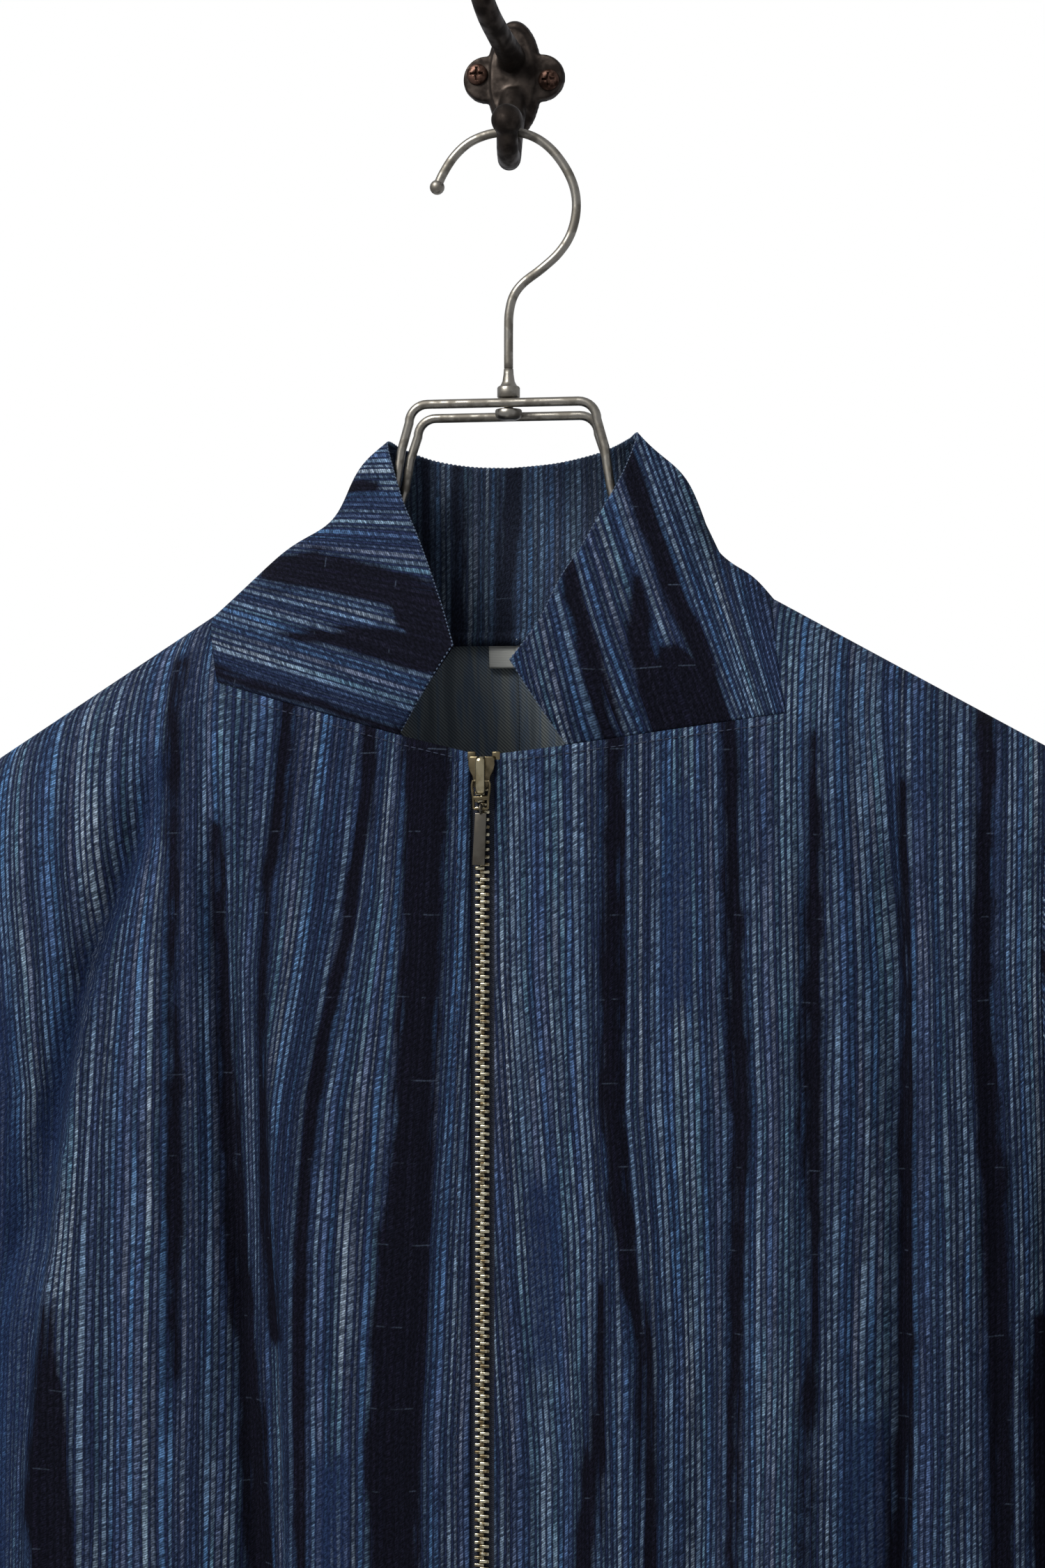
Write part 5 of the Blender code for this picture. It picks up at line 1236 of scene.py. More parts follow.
# %% Inside of the cloth
def twill_reverse():
    """Inside of the twill: slanting weft lines over slow patches of grey and blue."""
    material, tree, shader = new_material("twill_reverse", 0.95)
    across, down = thread_lengths(tree)
    slant = put(tree, "Math", {0: across, 1: down}, operation="SUBTRACT")
    slant = put(tree, "Math", {0: slant, 1: 4.2}, operation="MULTIPLY")
    rib = put(tree, "Math", {0: slant}, operation="SINE")
    rib = put(tree, "MapRange", {"Value": rib, "From Min": -1.0, "To Min": 0.15, "To Max": 1.0})
    shade = plane_noise(tree, across, down, 0.09, 0.008, 3.0)
    shade = ease_range(tree, shade, 0.35, 0.65)
    tone = ramp(tree, shade, ((0.0, "#77828a"), (0.35, "#98a2a6"), (0.65, "#7b90a8"),
                              (1.0, "#a8aeaa")))
    dark = put(tree, "Mix", {0: rib, 6: linear("#444b51"), 7: tone}, data_type="RGBA", out=2)
    tree.links.new(dark, shader.inputs["Base Color"])
    bump = put(tree, "Bump", {"Height": rib, "Distance": 0.00012, "Strength": 0.7})
    tree.links.new(bump, shader.inputs["Normal"])
    shader.inputs["Sheen Weight"].default_value = 0.1
    return material


reverse = twill_reverse()
print("nodes of the inside:", len(reverse.node_tree.nodes))

# %% [markdown]
# ## Hanging the cloth
# Every piece is built from its points, takes the place of its plain solid and rides with
# the hanger.

# %% Build the cloth pieces
sheets = {}
for (side, face), points in panels.items():
    name = ("front" if face == FRONT else "back") + ("_left" if side == LEFT else "_right")
    sheets[name] = sheet(name, points, side * face, panel_threads(side, face),
                         bands=panel_bands(name, side, face))
for side, name in ((LEFT, "sleeve_left"), (RIGHT, "sleeve_right")):
    sheets[name] = sheet(name, sleeves[side], side, sleeve_threads(side), ring=True,
                         bands=sleeve_bands(side))
for name, outward in (("collar_left", 1), ("collar_right", -1), ("collar_back", 1)):
    sheets[name] = sheet(name, COLLARS[name], outward, collar_threads(name),
                         bands=collar_bands(name))
share_normals(list(sheets.values()))

# Face count and outer area in square metres of each piece
for name, one in sheets.items():
    collar = name.startswith("collar")
    made = build_wall(one, indigo, faded_indigo if collar else reverse)
    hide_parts(name)
    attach(made, BODY)
    half_area = sum(p.area for p in made.data.polygons) / 2
    print(name, "faces", len(made.data.polygons), "outer area", round(half_area, 4), "m2")

# %% [markdown]
# ## Small hard pieces
# Metal parts are made four ways: a tube drawn along a path for wire, a block with
# rounded edges for stampings, a plate cut to an outline for the slider, and a profile
# turned about a line for the ferrule and the screws. Each rides with its solid.

# %% Makers for hard pieces
def show(mesh_object, material, name, body=BODY, stands_for=()):
    """Name a piece, paint it, let it ride and let it stand for its solids."""
    mesh_object.name = name
    mesh_object.data.materials.clear()
    mesh_object.data.materials.append(material)
    if stands_for:
        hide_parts(*stands_for)
    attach(mesh_object, body)
    return mesh_object


def from_bmesh(shape, name, smooth_faces=True):
    """A scene object from a bmesh drawn in millimetres."""
    bmesh.ops.scale(shape, vec=(MM, MM, MM), verts=shape.verts)
    bmesh.ops.recalc_face_normals(shape, faces=shape.faces)
    for face in shape.faces:
        face.smooth = smooth_faces
    mesh = bpy.data.meshes.new(name)
    shape.to_mesh(mesh)
    shape.free()
    made = bpy.data.objects.new(name, mesh)
    bpy.context.scene.collection.objects.link(made)
    return made


def finish_modifiers(made):
    """Turn an object's modifiers into its plain mesh."""
    bpy.context.view_layer.update()
    graph = bpy.context.evaluated_depsgraph_get()
    mesh = bpy.data.meshes.new_from_object(made.evaluated_get(graph))
    made.modifiers.clear()
    made.data = mesh


def smooth_line(points, steps):
    """A smooth run of points through given points."""
    count = (len(points) - 1) * steps
    return [edge_at(points, k / count) for k in range(count + 1)]


def add_tube(shape, path, radii, sides=16, flat=1.0):
    """Sweep a round section along a path inside a bmesh, with rounded closed ends."""
    path = [Vector(p) for p in path]
    if not isinstance(radii, (list, tuple)):
        radii = [radii] * len(path)
    tangent = (path[1] - path[0]).normalized()
    helper = Vector((0, 1, 0)) if abs(tangent.y) < 0.8 else Vector((1, 0, 0))
    across = tangent.cross(helper).normalized()
    rings = []
    for k, point in enumerate(path):
        ahead = (path[min(k + 1, len(path) - 1)] - path[max(k - 1, 0)]).normalized()
        across = (across - ahead * across.dot(ahead)).normalized()
        up = ahead.cross(across)
        rings.append([shape.verts.new(point + (across * math.cos(2 * math.pi * j / sides)
                                               + up * math.sin(2 * math.pi * j / sides) * flat)
                                      * radii[k]) for j in range(sides)])
    for low, high in zip(rings, rings[1:]):
        for j in range(sides):
            shape.faces.new((low[j], low[(j + 1) % sides], high[(j + 1) % sides], high[j]))
    for ring, point, way in ((rings[0], path[0], path[0] - path[1]),
                             (rings[-1], path[-1], path[-1] - path[-2])):
        radius = radii[0] if ring is rings[0] else radii[-1]
        tip = shape.verts.new(point + way.normalized() * radius * 0.35)
        for j in range(sides):
            shape.faces.new((ring[j], ring[(j + 1) % sides], tip))


def add_block(shape, low, high, bevel, segments=2):
    """A block between two corners with rounded edges, inside a bmesh."""
    low, high = Vector(low), Vector(high)
    made = bmesh.ops.create_cube(shape, size=1.0)["verts"]
    for vert in made:
        vert.co = Vector(((low.x + high.x) / 2 + vert.co.x * (high.x - low.x),
                          (low.y + high.y) / 2 + vert.co.y * (high.y - low.y),
                          (low.z + high.z) / 2 + vert.co.z * (high.z - low.z)))
    if bevel:
        edges = list({edge for vert in made for edge in vert.link_edges})
        bmesh.ops.bevel(shape, geom=edges, offset=bevel, segments=segments, profile=0.5,
                        affect="EDGES")


print("hard piece makers ready")

# %% [markdown]
# ## Brass and steel
# The zip is tumbled brass: yellow metal that has dulled to a brown olive and shines only
# on its high spots, such as the teeth and the bridge that fingers rub. The pull is plated
# in dark nickel. The hanger is drawn steel wire, greyish with a faint straw colour. The
# wall hook is cast iron with a dark brown patina and the grain of the sand mould. The
# screws are blackened steel gone brown.

# %% Metals
def dulled_metal(name, bright, dull, roughness, spot_mm, bump_mm, cover=(0.42, 0.62)):
    """A metal with a patchy dull film over it."""
    material, tree, shader = new_material(name, roughness, 1.0)
    spots = put(tree, "TexNoise", {"Scale": 1000.0 / spot_mm, "Detail": 4.0,
                                   "Vector": put(tree, "TexCoord", out="Object")})
    film = ease_range(tree, spots, *cover)
    colour = put(tree, "Mix", {0: film, 6: linear(bright), 7: linear(dull)},
                 data_type="RGBA", out=2)
    tree.links.new(colour, shader.inputs["Base Color"])
    rough = put(tree, "MapRange", {"Value": film, "To Min": roughness * 0.75,
                                   "To Max": min(roughness * 1.4, 1.0)})
    tree.links.new(rough, shader.inputs["Roughness"])
    grain = put(tree, "TexNoise", {"Scale": 2600.0 / spot_mm, "Detail": 3.0,
                                   "Vector": put(tree, "TexCoord", out="Object")})
    bump = put(tree, "Bump", {"Height": grain, "Distance": bump_mm * MM, "Strength": 0.6})
    tree.links.new(bump, shader.inputs["Normal"])
    return material


old_brass = dulled_metal("tumbled_brass", "#80745a", "#5e5541", 0.30, 5.0, 0.02)
rubbed_brass = dulled_metal("rubbed_brass_teeth", "#c6bea4", "#6e6148", 0.27, 2.0, 0.04)
drawn_steel = dulled_metal("drawn_steel_wire", "#99948a", "#746f66", 0.42, 6.0, 0.03)
polished_brass = dulled_metal("handled_brass_bridge", "#b3a888", "#8c8063", 0.24, 6.0, 0.01)
dark_nickel = dulled_metal("dark_nickel_pull", "#6e695f", "#57524a", 0.33, 5.0, 0.02)
black_steel = dulled_metal("blackened_screw_steel", "#5d463c", "#35261f", 0.58, 3.0, 0.03)
cast_iron = dulled_metal("brown_cast_iron", "#3f3833", "#282320", 0.50, 6.0, 0.09, (0.35, 0.65))
for metal in (old_brass, rubbed_brass, polished_brass, dark_nickel, drawn_steel, black_steel,
              cast_iron):
    print("metal:", metal.name)

# %% [markdown]
# ## The zip
# A size 5 metal zip has a tooth every 2.9 mm on each tape, and the two rows mesh
# half a step apart. A tooth is a small pressed bar with rounded ends and a waist. The
# tapes are woven in a fine herringbone.

# %% Teeth
TOOTH_PITCH = 2.9
TOOTH_LONG = 3.9
TOOTH_TALL = 1.3
TOOTH_DEEP = 2.0
TOOTH_OFFSET = 1.0        # from the middle line to a tooth's centre
CHAIN_TOP_Z = -297.5
CHAIN_END_Z = -816.5


def front_y(z):
    """Outer surface of the cloth at the zip's edge."""
    return body_point(LEFT, FRONT, ZIP_OPENING / 2, z, edge_x(LEFT, z)).y


def add_tooth(shape, x, y, z, side):
    """One tooth: a waisted bar whose hooked end reaches past the middle."""
    before = set(shape.verts)
    add_block(shape, (-TOOTH_LONG / 2, -TOOTH_DEEP / 2, -TOOTH_TALL / 2),
              (TOOTH_LONG / 2, TOOTH_DEEP / 2, TOOTH_TALL / 2), 0.38, 2)
    for vert in set(shape.verts) - before:
        waist = 1.0 - 0.30 * math.exp(-((vert.co.x * side + 0.1) / 0.75) ** 2)
        vert.co = Vector((x + vert.co.x, y + vert.co.y * (0.9 + 0.1 * waist),
                          z + vert.co.z * waist))


teeth = bmesh.new()
teeth_made = 0
for side in (LEFT, RIGHT):
    z = CHAIN_TOP_Z - (0.0 if side == RIGHT else TOOTH_PITCH / 2) - TOOTH_TALL / 2
    while z > CHAIN_END_Z + TOOTH_TALL / 2:
        y = front_y(z) + CLOTH - TOOTH_DEEP / 2 - 0.15
        add_tooth(teeth, CENTRE_X + side * TOOTH_OFFSET, y, z, side)
        teeth_made += 1
        z -= TOOTH_PITCH
chain = show(from_bmesh(teeth, "zip_teeth"), rubbed_brass, "zip_teeth",
             stands_for=["zip_chain"])
print("teeth:", teeth_made, "faces", len(chain.data.polygons))

# %% Tapes
TAPE_WIDTH = 13.0
TAPE_THICK = 0.7


def zip_tape_weave():
    """Woven polyester tape: a herringbone 1.6 mm wide, charcoal with an olive cast."""
    material, tree, shader = new_material("woven_zip_tape", 0.88)
    across, down = thread_lengths(tree)
    rib = put(tree, "Math", {0: across, 1: 1.6}, operation="DIVIDE")
    rib = put(tree, "Math", {0: rib, 1: 1.0, 2: 0.0}, operation="PINGPONG")
    slant = put(tree, "Math", {0: down, 1: 0.8}, operation="DIVIDE")
    rib = put(tree, "Math", {0: rib, 1: slant}, operation="ADD")
    rib = put(tree, "Math", {0: rib, 1: 2 * math.pi}, operation="MULTIPLY")
    rib = put(tree, "Math", {0: rib}, operation="SINE")
    rib = put(tree, "MapRange", {"Value": rib, "From Min": -1.0})
    colour = put(tree, "Mix", {0: rib, 6: linear("#131620"), 7: linear("#333848")},
                 data_type="RGBA", out=2)
    tree.links.new(colour, shader.inputs["Base Color"])
    bump = put(tree, "Bump", {"Height": rib, "Distance": 0.0001, "Strength": 0.7})
    tree.links.new(bump, shader.inputs["Normal"])
    return material


tape_weave = zip_tape_weave()
TAPE_ROWS = 140
for side, name in ((LEFT, "zip_tape_left"), (RIGHT, "zip_tape_right")):
    rows = []
    for row in range(TAPE_ROWS + 1):
        z = mix(ZIP_TOP_Z - 1.0, HEM_Z + 2.0, row / TAPE_ROWS)
        y = front_y(z) + CLOTH + SEAM_GAP
        rows.append([Vector((CENTRE_X + side * x, y + (0.25 if x > 6 else 0.0), z))
                     for x in (0.5, 2.5, ZIP_OPENING / 2, 9.0, TAPE_WIDTH)])

    def tape_threads(r, c, quad, rows=rows):
        return (rows[r][c].x, -rows[r][c].z)

    tape = build_wall(sheet(name, rows, -side, tape_threads), tape_weave, tape_weave, TAPE_THICK)
    show(tape, tape_weave, "woven_" + name, stands_for=[name])
print("tapes:", TAPE_WIDTH, "mm wide")

# %% [markdown]
# ## Slider and pull
# The slider is a die-cast shield with a bridge over it. A stamped link with two windows
# hangs from the bridge, and a plain flat pull hangs from the link by a small ring.

# %% Slider
SLIDER_BACK = front_y(ZIP_TOP_Z - 0.4) - 0.9
SLIDER_FRONT = SLIDER_BACK - 1.6


def add_plate(shape, outline, back, front, bevel):
    """A flat plate cut to an outline in x and z, with softened edges."""
    made = [shape.verts.new((CENTRE_X + x, back, z)) for x, z in outline]
    base = shape.faces.new(made)
    pushed = bmesh.ops.extrude_face_region(shape, geom=[base])["geom"]
    verts = [item for item in pushed if isinstance(item, bmesh.types.BMVert)]
    bmesh.ops.translate(shape, vec=(0, front - back, 0), verts=verts)
    if bevel:
        edges = [edge for edge in shape.edges if all(vert in verts for vert in edge.verts)]
        bmesh.ops.bevel(shape, geom=edges, offset=bevel, segments=2, profile=0.5,
                        affect="EDGES")


SHIELD = ((-4.4, -285.2), (4.4, -285.2), (5.15, -286.0), (5.25, -288.6), (4.7, -290.8),
          (3.5, -293.0), (2.9, -297.4), (-2.9, -297.4), (-3.5, -293.0), (-4.7, -290.8),
          (-5.25, -288.6), (-5.15, -286.0))
slider = bmesh.new()
add_plate(slider, SHIELD, SLIDER_BACK, SLIDER_FRONT, 0.45)
show(from_bmesh(slider, "slider"), old_brass, "zip_slider_cast",
     stands_for=["zip_slider"])
BRIDGE = ((0.4, -286.0), (-1.4, -286.0), (-2.5, -286.8), (-2.8, -289.0), (-2.8, -292.0),
          (-2.75, -295.5), (-2.5, -298.0), (-1.3, -299.2), (0.4, -296.8))
bridge = bmesh.new()
add_tube(bridge, smooth_line([(CENTRE_X, SLIDER_FRONT + y, z) for y, z in BRIDGE], 5), 0.85,
         28, 2.1)             # a flat section, 3.6 mm wide and 1.7 mm thick
show(from_bmesh(bridge, "bridge"), polished_brass, "slider_bridge")

# %% Link and pull
LINK_Y = SLIDER_FRONT - SEAM_GAP - 0.7
RAIL = ((3.0, -294.7), (3.45, -296.2), (3.4, -298.5), (2.95, -301.5), (2.8, -305.6))
# half width, lower and upper height of each cross bar
CROSS_BARS = ((3.0, -295.3, -294.3), (3.1, -302.2, -300.7), (2.9, -306.1, -305.1))
link = bmesh.new()
for side in (LEFT, RIGHT):
    add_tube(link, smooth_line([(CENTRE_X + side * x, LINK_Y, z) for x, z in RAIL], 4), 0.55,
             12, 0.95)
for half_wide, low_z, high_z in CROSS_BARS:
    add_block(link, (CENTRE_X - half_wide, LINK_Y - 0.5, low_z),
              (CENTRE_X + half_wide, LINK_Y + 0.5, high_z), 0.3)
show(from_bmesh(link, "link"), old_brass, "stamped_pull_link", body="pull_link",
     stands_for=["zip_pull_link"])

pull = bmesh.new()
RING_Z = -305.65
RING_RADIUS = 1.75
ring_path = [(CENTRE_X, LINK_Y + RING_RADIUS * math.cos(2 * math.pi * k / 24),
              RING_Z + RING_RADIUS * math.sin(2 * math.pi * k / 24)) for k in range(25)]
add_tube(pull, ring_path, 0.5, 10)
add_block(pull, (CENTRE_X - 2.5, LINK_Y - 0.65, -327.4), (CENTRE_X + 2.5, LINK_Y + 0.65, -307.2),
          0.4, 3)
# the pull widens a little and leans to the left on its way down
for vert in pull.verts:
    drop = max(RING_Z - vert.co.z - 1.5, 0.0)
    vert.co.x = CENTRE_X + (vert.co.x - CENTRE_X) * (0.92 + 0.004 * drop) - drop * 0.045
show(from_bmesh(pull, "pull"), dark_nickel, "flat_zip_pull", body="pull_tab",
     stands_for=["zip_pull_tab"])

# %% Stops and retainer box
STOP_X = {"zip_stop_left": -4.3, "zip_stop_right": 5.4}
STOP_HALF = 1.6
STOP_Z = -285.0
for name, x in STOP_X.items():
    stop = bmesh.new()
    y = front_y(ZIP_TOP_Z) + CLOTH
    add_block(stop, (CENTRE_X + x - STOP_HALF, y - 1.8, STOP_Z - STOP_HALF),
              (CENTRE_X + x + STOP_HALF, y, STOP_Z + STOP_HALF), 0.35)
    show(from_bmesh(stop, name), old_brass, "pressed_" + name,
         stands_for=[name])
# the retainer box closes the lower end, with the pin of the other tape standing in it
box = bmesh.new()
y = front_y(-820.0) + CLOTH
add_block(box, (CENTRE_X - 3.7, y - 3.3, -824.2), (CENTRE_X + 3.7, y, -817.4), 0.7, 3)
add_block(box, (CENTRE_X + 1.2, y - 3.5, -823.0), (CENTRE_X + 2.6, y - 3.0, -812.0), 0.3, 2)
show(from_bmesh(box, "box"), old_brass, "retainer_box",
     stands_for=["zip_retainer"])
print("slider front at y", round(SLIDER_FRONT, 1))

# %% [markdown]
# ## Label
# A small off-white label of damask satin is sewn inside the back neck by its top edge. It
# is bare.

# %% Label
def satin_label():
    """Fine woven satin: bright warp floats in rows 0.4 mm apart."""
    material, tree, shader = new_material("off_white_satin", 0.7)
    down = thread_lengths(tree)[1]
    rib = put(tree, "Math", {0: down, 1: 2 * math.pi / 0.4}, operation="MULTIPLY")
    rib = put(tree, "Math", {0: rib}, operation="SINE")
    rib = put(tree, "MapRange", {"Value": rib, "From Min": -1.0})
    colour = put(tree, "Mix", {0: rib, 6: linear("#c9ccc3"), 7: linear("#f2f1ea")},
                 data_type="RGBA", out=2)
    tree.links.new(colour, shader.inputs["Base Color"])
    bump = put(tree, "Bump", {"Height": rib, "Distance": 0.00005, "Strength": 0.6})
    tree.links.new(bump, shader.inputs["Normal"])
    return material


LABEL_TOP_Z = -236.0
LABEL_LOW_Z = -248.0
LABEL_HALF = 12.0
LABEL_OFF = 2.1           # from the inside of the back to the label's face
LABEL_ROWS = 12
LABEL_COLUMNS = 24
label_rows = []
for row in range(LABEL_ROWS + 1):
    z = mix(LABEL_TOP_Z, LABEL_LOW_Z, row / LABEL_ROWS)
    line = []
    for column in range(LABEL_COLUMNS + 1):
        x = mix(-LABEL_HALF, LABEL_HALF, column / LABEL_COLUMNS)
        side = LEFT if x < 0 else RIGHT
        skin = body_point(side, BACK, abs(x), z, edge_x(side, z))
        wave = 0.25 * math.sin(x / 3.0) * row / LABEL_ROWS
        line.append(Vector((CENTRE_X + x, skin.y - CLOTH - LABEL_OFF + wave, z)))
    label_rows.append(line)


def label_threads(r, c, quad):
    return (label_rows[r][c].x, -label_rows[r][c].z)


satin = satin_label()
label = build_wall(sheet("label", label_rows, -1, label_threads), satin, satin, 0.7)
show(label, satin, "bare_label", stands_for=["label"])
print("label:", 2 * LABEL_HALF, "mm wide")

# %% [markdown]
# ## Wire hanger
# Two 3.7 mm steel wires are bent to one outline and clamped one behind the other by a
# ferrule, which also holds the hook. The hook ends in a ball so that it catches no cloth.

# %% Hanger wires
WIRE = 1.85
WIRE_Y = {FRONT: -52.4, BACK: -40.4}
BAR_Z = {FRONT: -142.5, BACK: -146.8}
BAR_HALF = {FRONT: 38.4, BACK: 37.2}
BAR_CORNER = 7.5
LEG_X = {FRONT: 44.8, BACK: 43.4}
ARM_Y = {FRONT: -55.5, BACK: -44.5}
END_Y = {FRONT: -52.2, BACK: -47.8}
LEG_FOOT_Z = -180.0
ELBOW_Z = -194.0
ARM_FROM_X, ARM_TO_X, ARM_END_X = 70.0, 192.0, 196.0
UNDER_CLOTH = 6.7         # from the shoulder's outside down to the wire's middle
for face, name in ((FRONT, "hanger_wire_front"), (BACK, "hanger_wire_back")):
    halves_of_wire = []
    for side in (LEFT, RIGHT):
        half = []
        for step in range(9):
            turn = math.pi / 2 * step / 8
            half.append((BAR_HALF[face] - BAR_CORNER * (1 - math.sin(turn)), WIRE_Y[face],
                         BAR_Z[face] - BAR_CORNER * (1 - math.cos(turn))))
        bend = [((BAR_HALF[face] + LEG_X[face]) / 2, WIRE_Y[face],
                 (BAR_Z[face] + LEG_FOOT_Z) / 2),
                (LEG_X[face], mix(WIRE_Y[face], ARM_Y[face], 0.3), LEG_FOOT_Z),
                (LEG_X[face] + 6.5, mix(WIRE_Y[face], ARM_Y[face], 0.5), ELBOW_Z)]
        for step in range(6):
            x = mix(ARM_FROM_X, ARM_TO_X, step / 5)
            bend.append((x, ARM_Y[face], shoulder_z(side, x) - UNDER_CLOTH))
        bend.append((ARM_END_X, END_Y[face], shoulder_z(side, ARM_END_X) - UNDER_CLOTH))
        half += [tuple(point) for point in smooth_line(bend, 5)]
        halves_of_wire.append([(CENTRE_X + side * x, y, z) for x, y, z in half])
    wire = bmesh.new()
    add_tube(wire, halves_of_wire[0][::-1] + halves_of_wire[1], WIRE, 20)
    show(from_bmesh(wire, name), drawn_steel, "drawn_" + name,
         stands_for=[name])

# %% Hook and ferrule
HOOK_POINTS = ((-29.4, -54.0), (-27.2, -49.0), (-22.6, -42.0), (-16.4, -36.5), (-8.6, -33.4),
               (0.0, -32.6), (8.6, -34.2), (16.4, -39.2), (23.0, -47.5), (26.9, -56.5),
               (27.6, -65.5), (25.4, -74.6), (20.6, -82.0), (13.6, -88.2), (6.2, -93.6),
               (2.2, -98.6), (0.4, -104.8), (0.0, -112.0), (0.0, -128.0))
HOOK_X, HOOK_Y = CENTRE_X + 1.7, -48.0
HOOK_BALL = 3.0
hook = bmesh.new()
add_tube(hook, smooth_line([(HOOK_X + x, HOOK_Y, z) for x, z in HOOK_POINTS], 5), WIRE, 20)
ball_x, ball_z = HOOK_POINTS[0]
bmesh.ops.create_uvsphere(hook, u_segments=28, v_segments=18, radius=HOOK_BALL,
                          matrix=Matrix.Translation((HOOK_X + ball_x, HOOK_Y, ball_z)))
show(from_bmesh(hook, "hook"), drawn_steel, "ball_ended_hook",
     stands_for=["hanger_hook"])
# radius and height of collar, nut, shank and rivet head
FERRULE = ((0.0, -128.3), (1.9, -128.3), (2.05, -130.5), (2.5, -133.4), (3.3, -135.0),
           (4.3, -135.6), (4.6, -136.1), (4.6, -139.7), (4.2, -140.2), (1.9, -140.3),
           (1.85, -144.6), (5.0, -144.7), (5.4, -145.2), (5.4, -147.0), (4.9, -148.2),
           (3.4, -149.0), (0.0, -149.0))


def turned(name, profile, x, y, steps=48):
    """A piece turned about an upright line from (radius, height) pairs."""
    shape = bmesh.new()
    rings = [[shape.verts.new((x + radius * math.cos(2 * math.pi * k / steps),
                               y + radius * math.sin(2 * math.pi * k / steps), z))
              for k in range(steps)] for radius, z in profile]
    for low, high in zip(rings, rings[1:]):
        for k in range(steps):
            shape.faces.new((low[k], low[(k + 1) % steps], high[(k + 1) % steps], high[k]))
    bmesh.ops.remove_doubles(shape, verts=shape.verts, dist=0.0005)
    return from_bmesh(shape, name)


show(turned("ferrule", FERRULE, HOOK_X, HOOK_Y), drawn_steel, "turned_ferrule",
     stands_for=["hanger_ferrule"])
print("hanger: wire", 2 * WIRE, "mm")

# %% [markdown]
# ## Wall hook
# One iron casting: a plate with two round lobes for the screws, a tall middle, and two
# arms with ball ends. Its parts flow into each other, so they are melted into one skin
# and smoothed, as sand casting leaves them.

# %% Casting
# middle, half width, half height and thickness of each slab of the plate
PLATE_SLABS = ((0.0, 12.0, 25.0, 3.6), (-0.1, 10.2, 22.0, 5.2), (-11.8, 10.0, 10.0, 4.0),
               (11.8, 10.0, 10.0, 4.0))
LOWER_ARM = ((0, -1.5, -8), (0.5, -10, -20), (1.5, -19, -31), (3, -30, -39.2),
             (4.5, -41, -41.2), (5.7, -51, -38.8), (6.6, -57, -33.5))
UPPER_ARM = ((0, -1.5, 6), (-0.5, -12, 9), (-1.8, -28, 12), (-3.6, -44, 17), (-5.4, -57, 26),
             (-6.6, -64, 37))
LOWER_RADIUS = (6.0, 5.4, 5.0, 4.8, 4.6, 4.4, 4.2)
UPPER_RADIUS = (6.0, 5.4, 5.0, 4.8, 4.5, 4.2)
ARM_BALLS = ((6.8, -58.5, -30.0), (-7.2, -66.0, 43.0))
casting = bmesh.new()
for x, half_wide, half_tall, thick in PLATE_SLABS:
    disc = bmesh.ops.create_cone(casting, cap_ends=True, segments=64, radius1=1.0, radius2=0.93,
                                 depth=thick, matrix=Matrix.Rotation(math.pi / 2, 4, "X"))
    for vert in disc["verts"]:
        vert.co = Vector((x + vert.co.x * half_wide, vert.co.y - thick / 2, vert.co.z * half_tall))
for points, radii in ((LOWER_ARM, LOWER_RADIUS), (UPPER_ARM, UPPER_RADIUS)):
    path = smooth_line(points, 6)
    add_tube(casting, path, [along(radii, k / (len(path) - 1)) for k in range(len(path))], 28)
for centre in ARM_BALLS:
    bmesh.ops.create_uvsphere(casting, u_segments=32, v_segments=20, radius=6.4,
                              matrix=Matrix.Translation(centre))
wall_hook = from_bmesh(casting, "casting")
melt = wall_hook.modifiers.new("melt", "REMESH")
melt.mode = "VOXEL"
melt.voxel_size = 0.65 * MM
melt.use_smooth_shade = True
ease = wall_hook.modifiers.new("ease", "SMOOTH")
ease.factor = 0.5
ease.iterations = 9
finish_modifiers(wall_hook)
# the smoothing eases the back a little, so it is pressed flat on the wall again
for vert in wall_hook.data.vertices:
    if vert.co.y > -0.0006:
        vert.co.y = 0.0
show(wall_hook, cast_iron, "cast_wall_hook", stands_for=["wall_hook"])
print("casting faces:", len(wall_hook.data.polygons))

# %% [markdown]
# ## Screws
# Two pan-head screws hold the plate. Each head is turned from its profile, and a cross of
# two bars is cut out of it for the driver.

# %% Screws
SCREW_X = 15.2
SCREW_SEAT_Y = -4.3
HEAD = ((0.0, 0.0), (4.4, 0.0), (4.4, 0.5), (4.1, 1.1), (3.3, 1.6), (2.0, 1.93), (0.0, 2.0))
for side, name, z in ((LEFT, "screw_left", 1.8), (RIGHT, "screw_right", -1.7)):
    head = turned(name, HEAD, 0.0, 0.0)
    head.data.transform(Matrix.Translation(Vector((side * SCREW_X, SCREW_SEAT_Y, z)) * MM)
                        @ Matrix.Rotation(math.pi / 2, 4, "X"))
    bars = bmesh.new()
    for half_wide, half_tall in ((2.7, 0.5), (0.5, 2.7)):
        add_block(bars, (side * SCREW_X - half_wide, -7.5, z - half_tall),
                  (side * SCREW_X + half_wide, -5.2, z + half_tall), 0.12, 1)
    recess = from_bmesh(bars, "recess", False)
    cross = head.modifiers.new("cross", "BOOLEAN")
    cross.operation = "DIFFERENCE"
    cross.solver = "EXACT"
    cross.use_self = True
    cross.object = recess
    finish_modifiers(head)
    bpy.data.objects.remove(recess)
    show(head, black_steel, "cross_" + name, stands_for=[name])
print("screws set")

# %% [markdown]
# ## Stitches
# Each stitch is a short grain of thread that dips into the cloth at both ends. Seams and
# hems are sewn in navy, 3 mm to a stitch. The collar's free edge shows the worn ends of
# its threads, so small grains of a lighter blue sit along it.

# %% Sewing
SEAM_STITCH = {"pitch": 3.0, "length": 2.1, "radius": 0.24}
EDGE_STITCH = {"pitch": 1.8, "length": 0.95, "radius": 0.38}


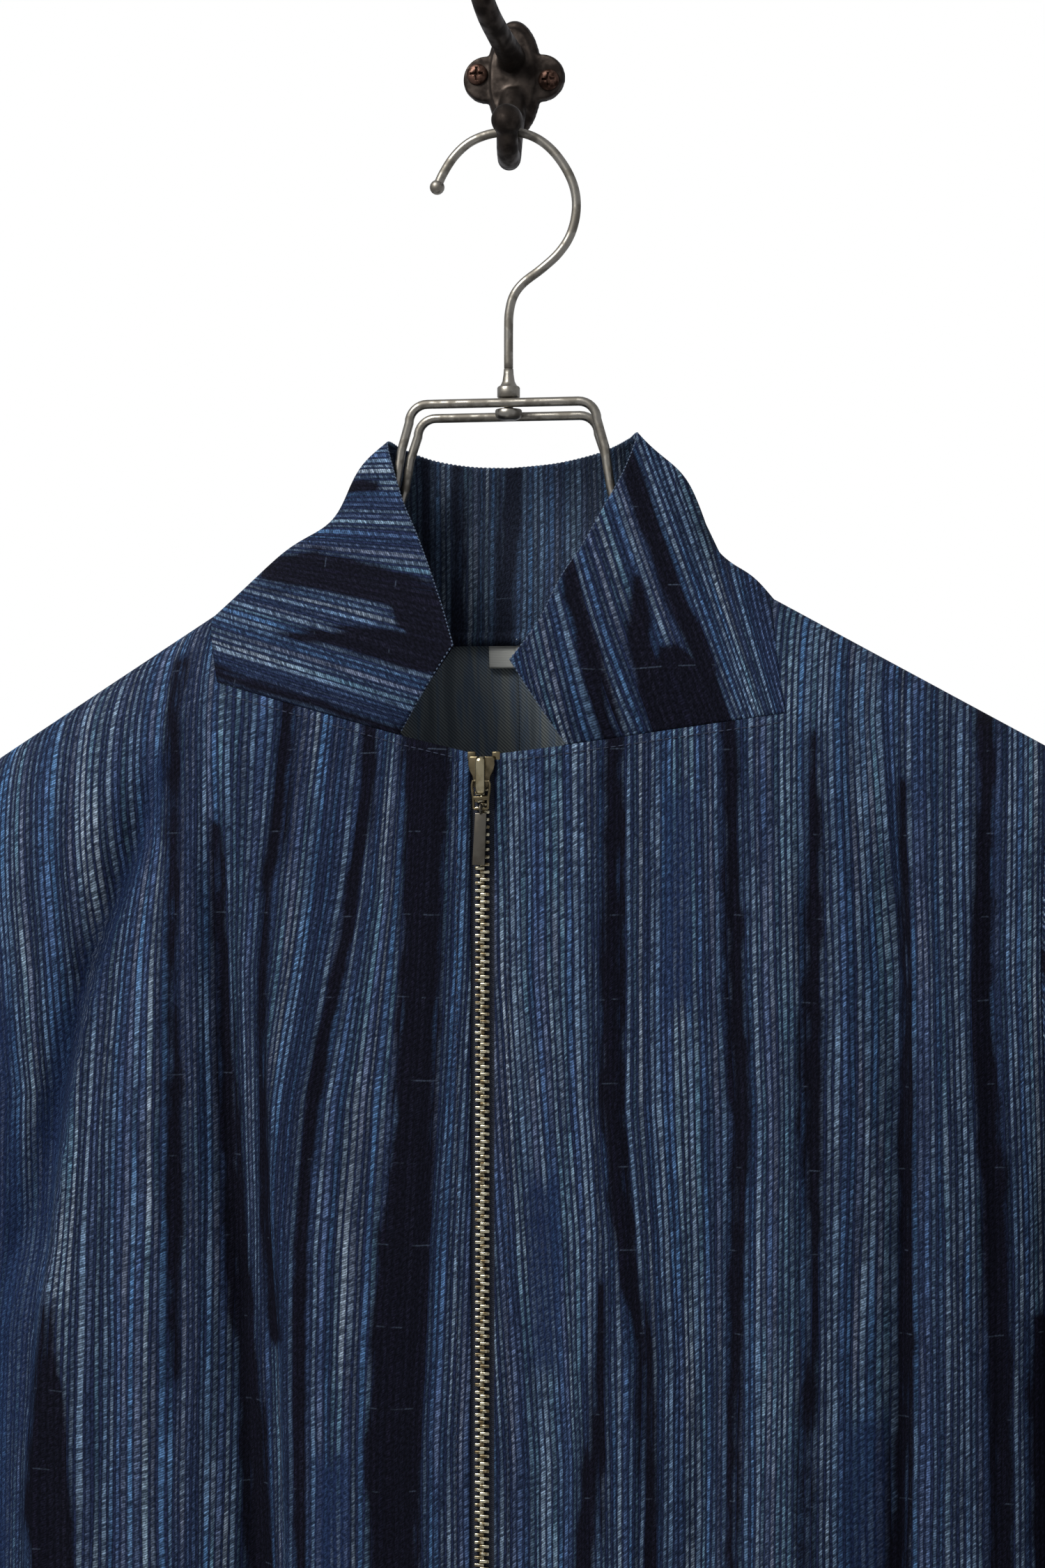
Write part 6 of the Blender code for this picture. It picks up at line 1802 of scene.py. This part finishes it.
def spun_thread(name, colour):
    """Cotton sewing thread: fine twist lines over one colour."""
    material, tree, shader = new_material(name, 0.85)
    fleck = put(tree, "TexNoise", {"Scale": 1800.0, "Detail": 2.0,
                                   "Vector": put(tree, "TexCoord", out="Object")})
    low = tuple(0.55 * part for part in linear(colour)[:3]) + (1.0,)
    tone = put(tree, "Mix", {0: fleck, 6: low, 7: linear(colour)}, data_type="RGBA", out=2)
    tree.links.new(tone, shader.inputs["Base Color"])
    return material


def add_stitches(shape, path, directions, pitch, length, radius):
    """Stitches along a line of points, arched a little along each point's direction."""
    walked = [0.0]
    for start, end in zip(path, path[1:]):
        walked.append(walked[-1] + (end - start).length)
    spots = [[float(value) for value in walked]] + [[point[axis] for point in path]
                                                    for axis in range(3)]
    leans = [[way[axis] for way in directions] for axis in range(3)]
    place = pitch * 0.5
    while place + length < walked[-1]:
        line = []
        for share, rise in ((0.0, -0.4), (0.22, 0.55), (0.5, 0.75), (0.78, 0.55), (1.0, -0.4)):
            at = place + length * share
            point = Vector([float(np.interp(at, spots[0], spots[axis + 1])) for axis in range(3)])
            way = Vector([float(np.interp(at, spots[0], leans[axis])) for axis in range(3)])
            line.append(point + way.normalized() * (rise * radius))
        add_tube(shape, line, [radius * 0.6, radius, radius, radius, radius * 0.6], 6)
        place += pitch


def seam_line(name, spots):
    """Points and outward directions of a sheet at chosen rows and columns."""
    one = sheets[name]
    pairs = [(one["points"][r][c], one["normals"][r][c]) for r, c in spots
             if one["points"][r][c] is not None]
    return [point for point, _ in pairs], [way for _, way in pairs]


navy_thread = spun_thread("navy_sewing_thread", "#2a3248")
sewing = bmesh.new()
last_row = YOKE_ROWS + ARM_ROWS + BODY_ROWS
columns = NECK_COLUMNS + CHEST_COLUMNS + OUTER_COLUMNS
for name in ("front_left", "front_right", "back_left", "back_right"):
    runs = [[(last_row - 4, c) for c in range(columns)]]
    if name.startswith("front"):
        runs.append([(r, 3) for r in range(YOKE_ROWS + 1, last_row)])
        runs.append([(YOKE_ROWS + 1, c) for c in range(3, NECK_COLUMNS + CHEST_COLUMNS)])
    else:
        runs.append([(r, 2) for r in range(BACK_YOKE_ROWS + 1, last_row)])
        runs.append([(BACK_YOKE_ROWS + 1, c) for c in range(NECK_COLUMNS + CHEST_COLUMNS)])
    for run in runs:
        add_stitches(sewing, *seam_line(name, run), **SEAM_STITCH)
for name in ("sleeve_left", "sleeve_right"):
    ring_count = len(sheets[name]["points"][0])
    hem_row = len(sheets[name]["points"]) - 3
    hem = [(hem_row, c % ring_count) for c in range(ring_count + 1)]
    add_stitches(sewing, *seam_line(name, hem), **SEAM_STITCH)
show(from_bmesh(sewing, "sewing"), navy_thread, "topstitching")

pale_thread = spun_thread("pale_cut_threads", "#505f75")
edging = bmesh.new()
for name in ("collar_left", "collar_right", "collar_back"):
    stations = len(sheets[name]["points"])
    rim = [(c, COLLAR_ROWS + 2) for c in range(stations)]
    if name != "collar_back":
        rim = [(0, r) for r in range(3, COLLAR_ROWS + 3)] + rim[1:]
    path, ways = seam_line(name, rim)
    path = [point - way * CLOTH * 0.35 for point, way in zip(path, ways)]
    add_stitches(edging, path, ways, **EDGE_STITCH)
show(from_bmesh(edging, "edging"), pale_thread, "collar_edge_threads")
print("stitches laid")
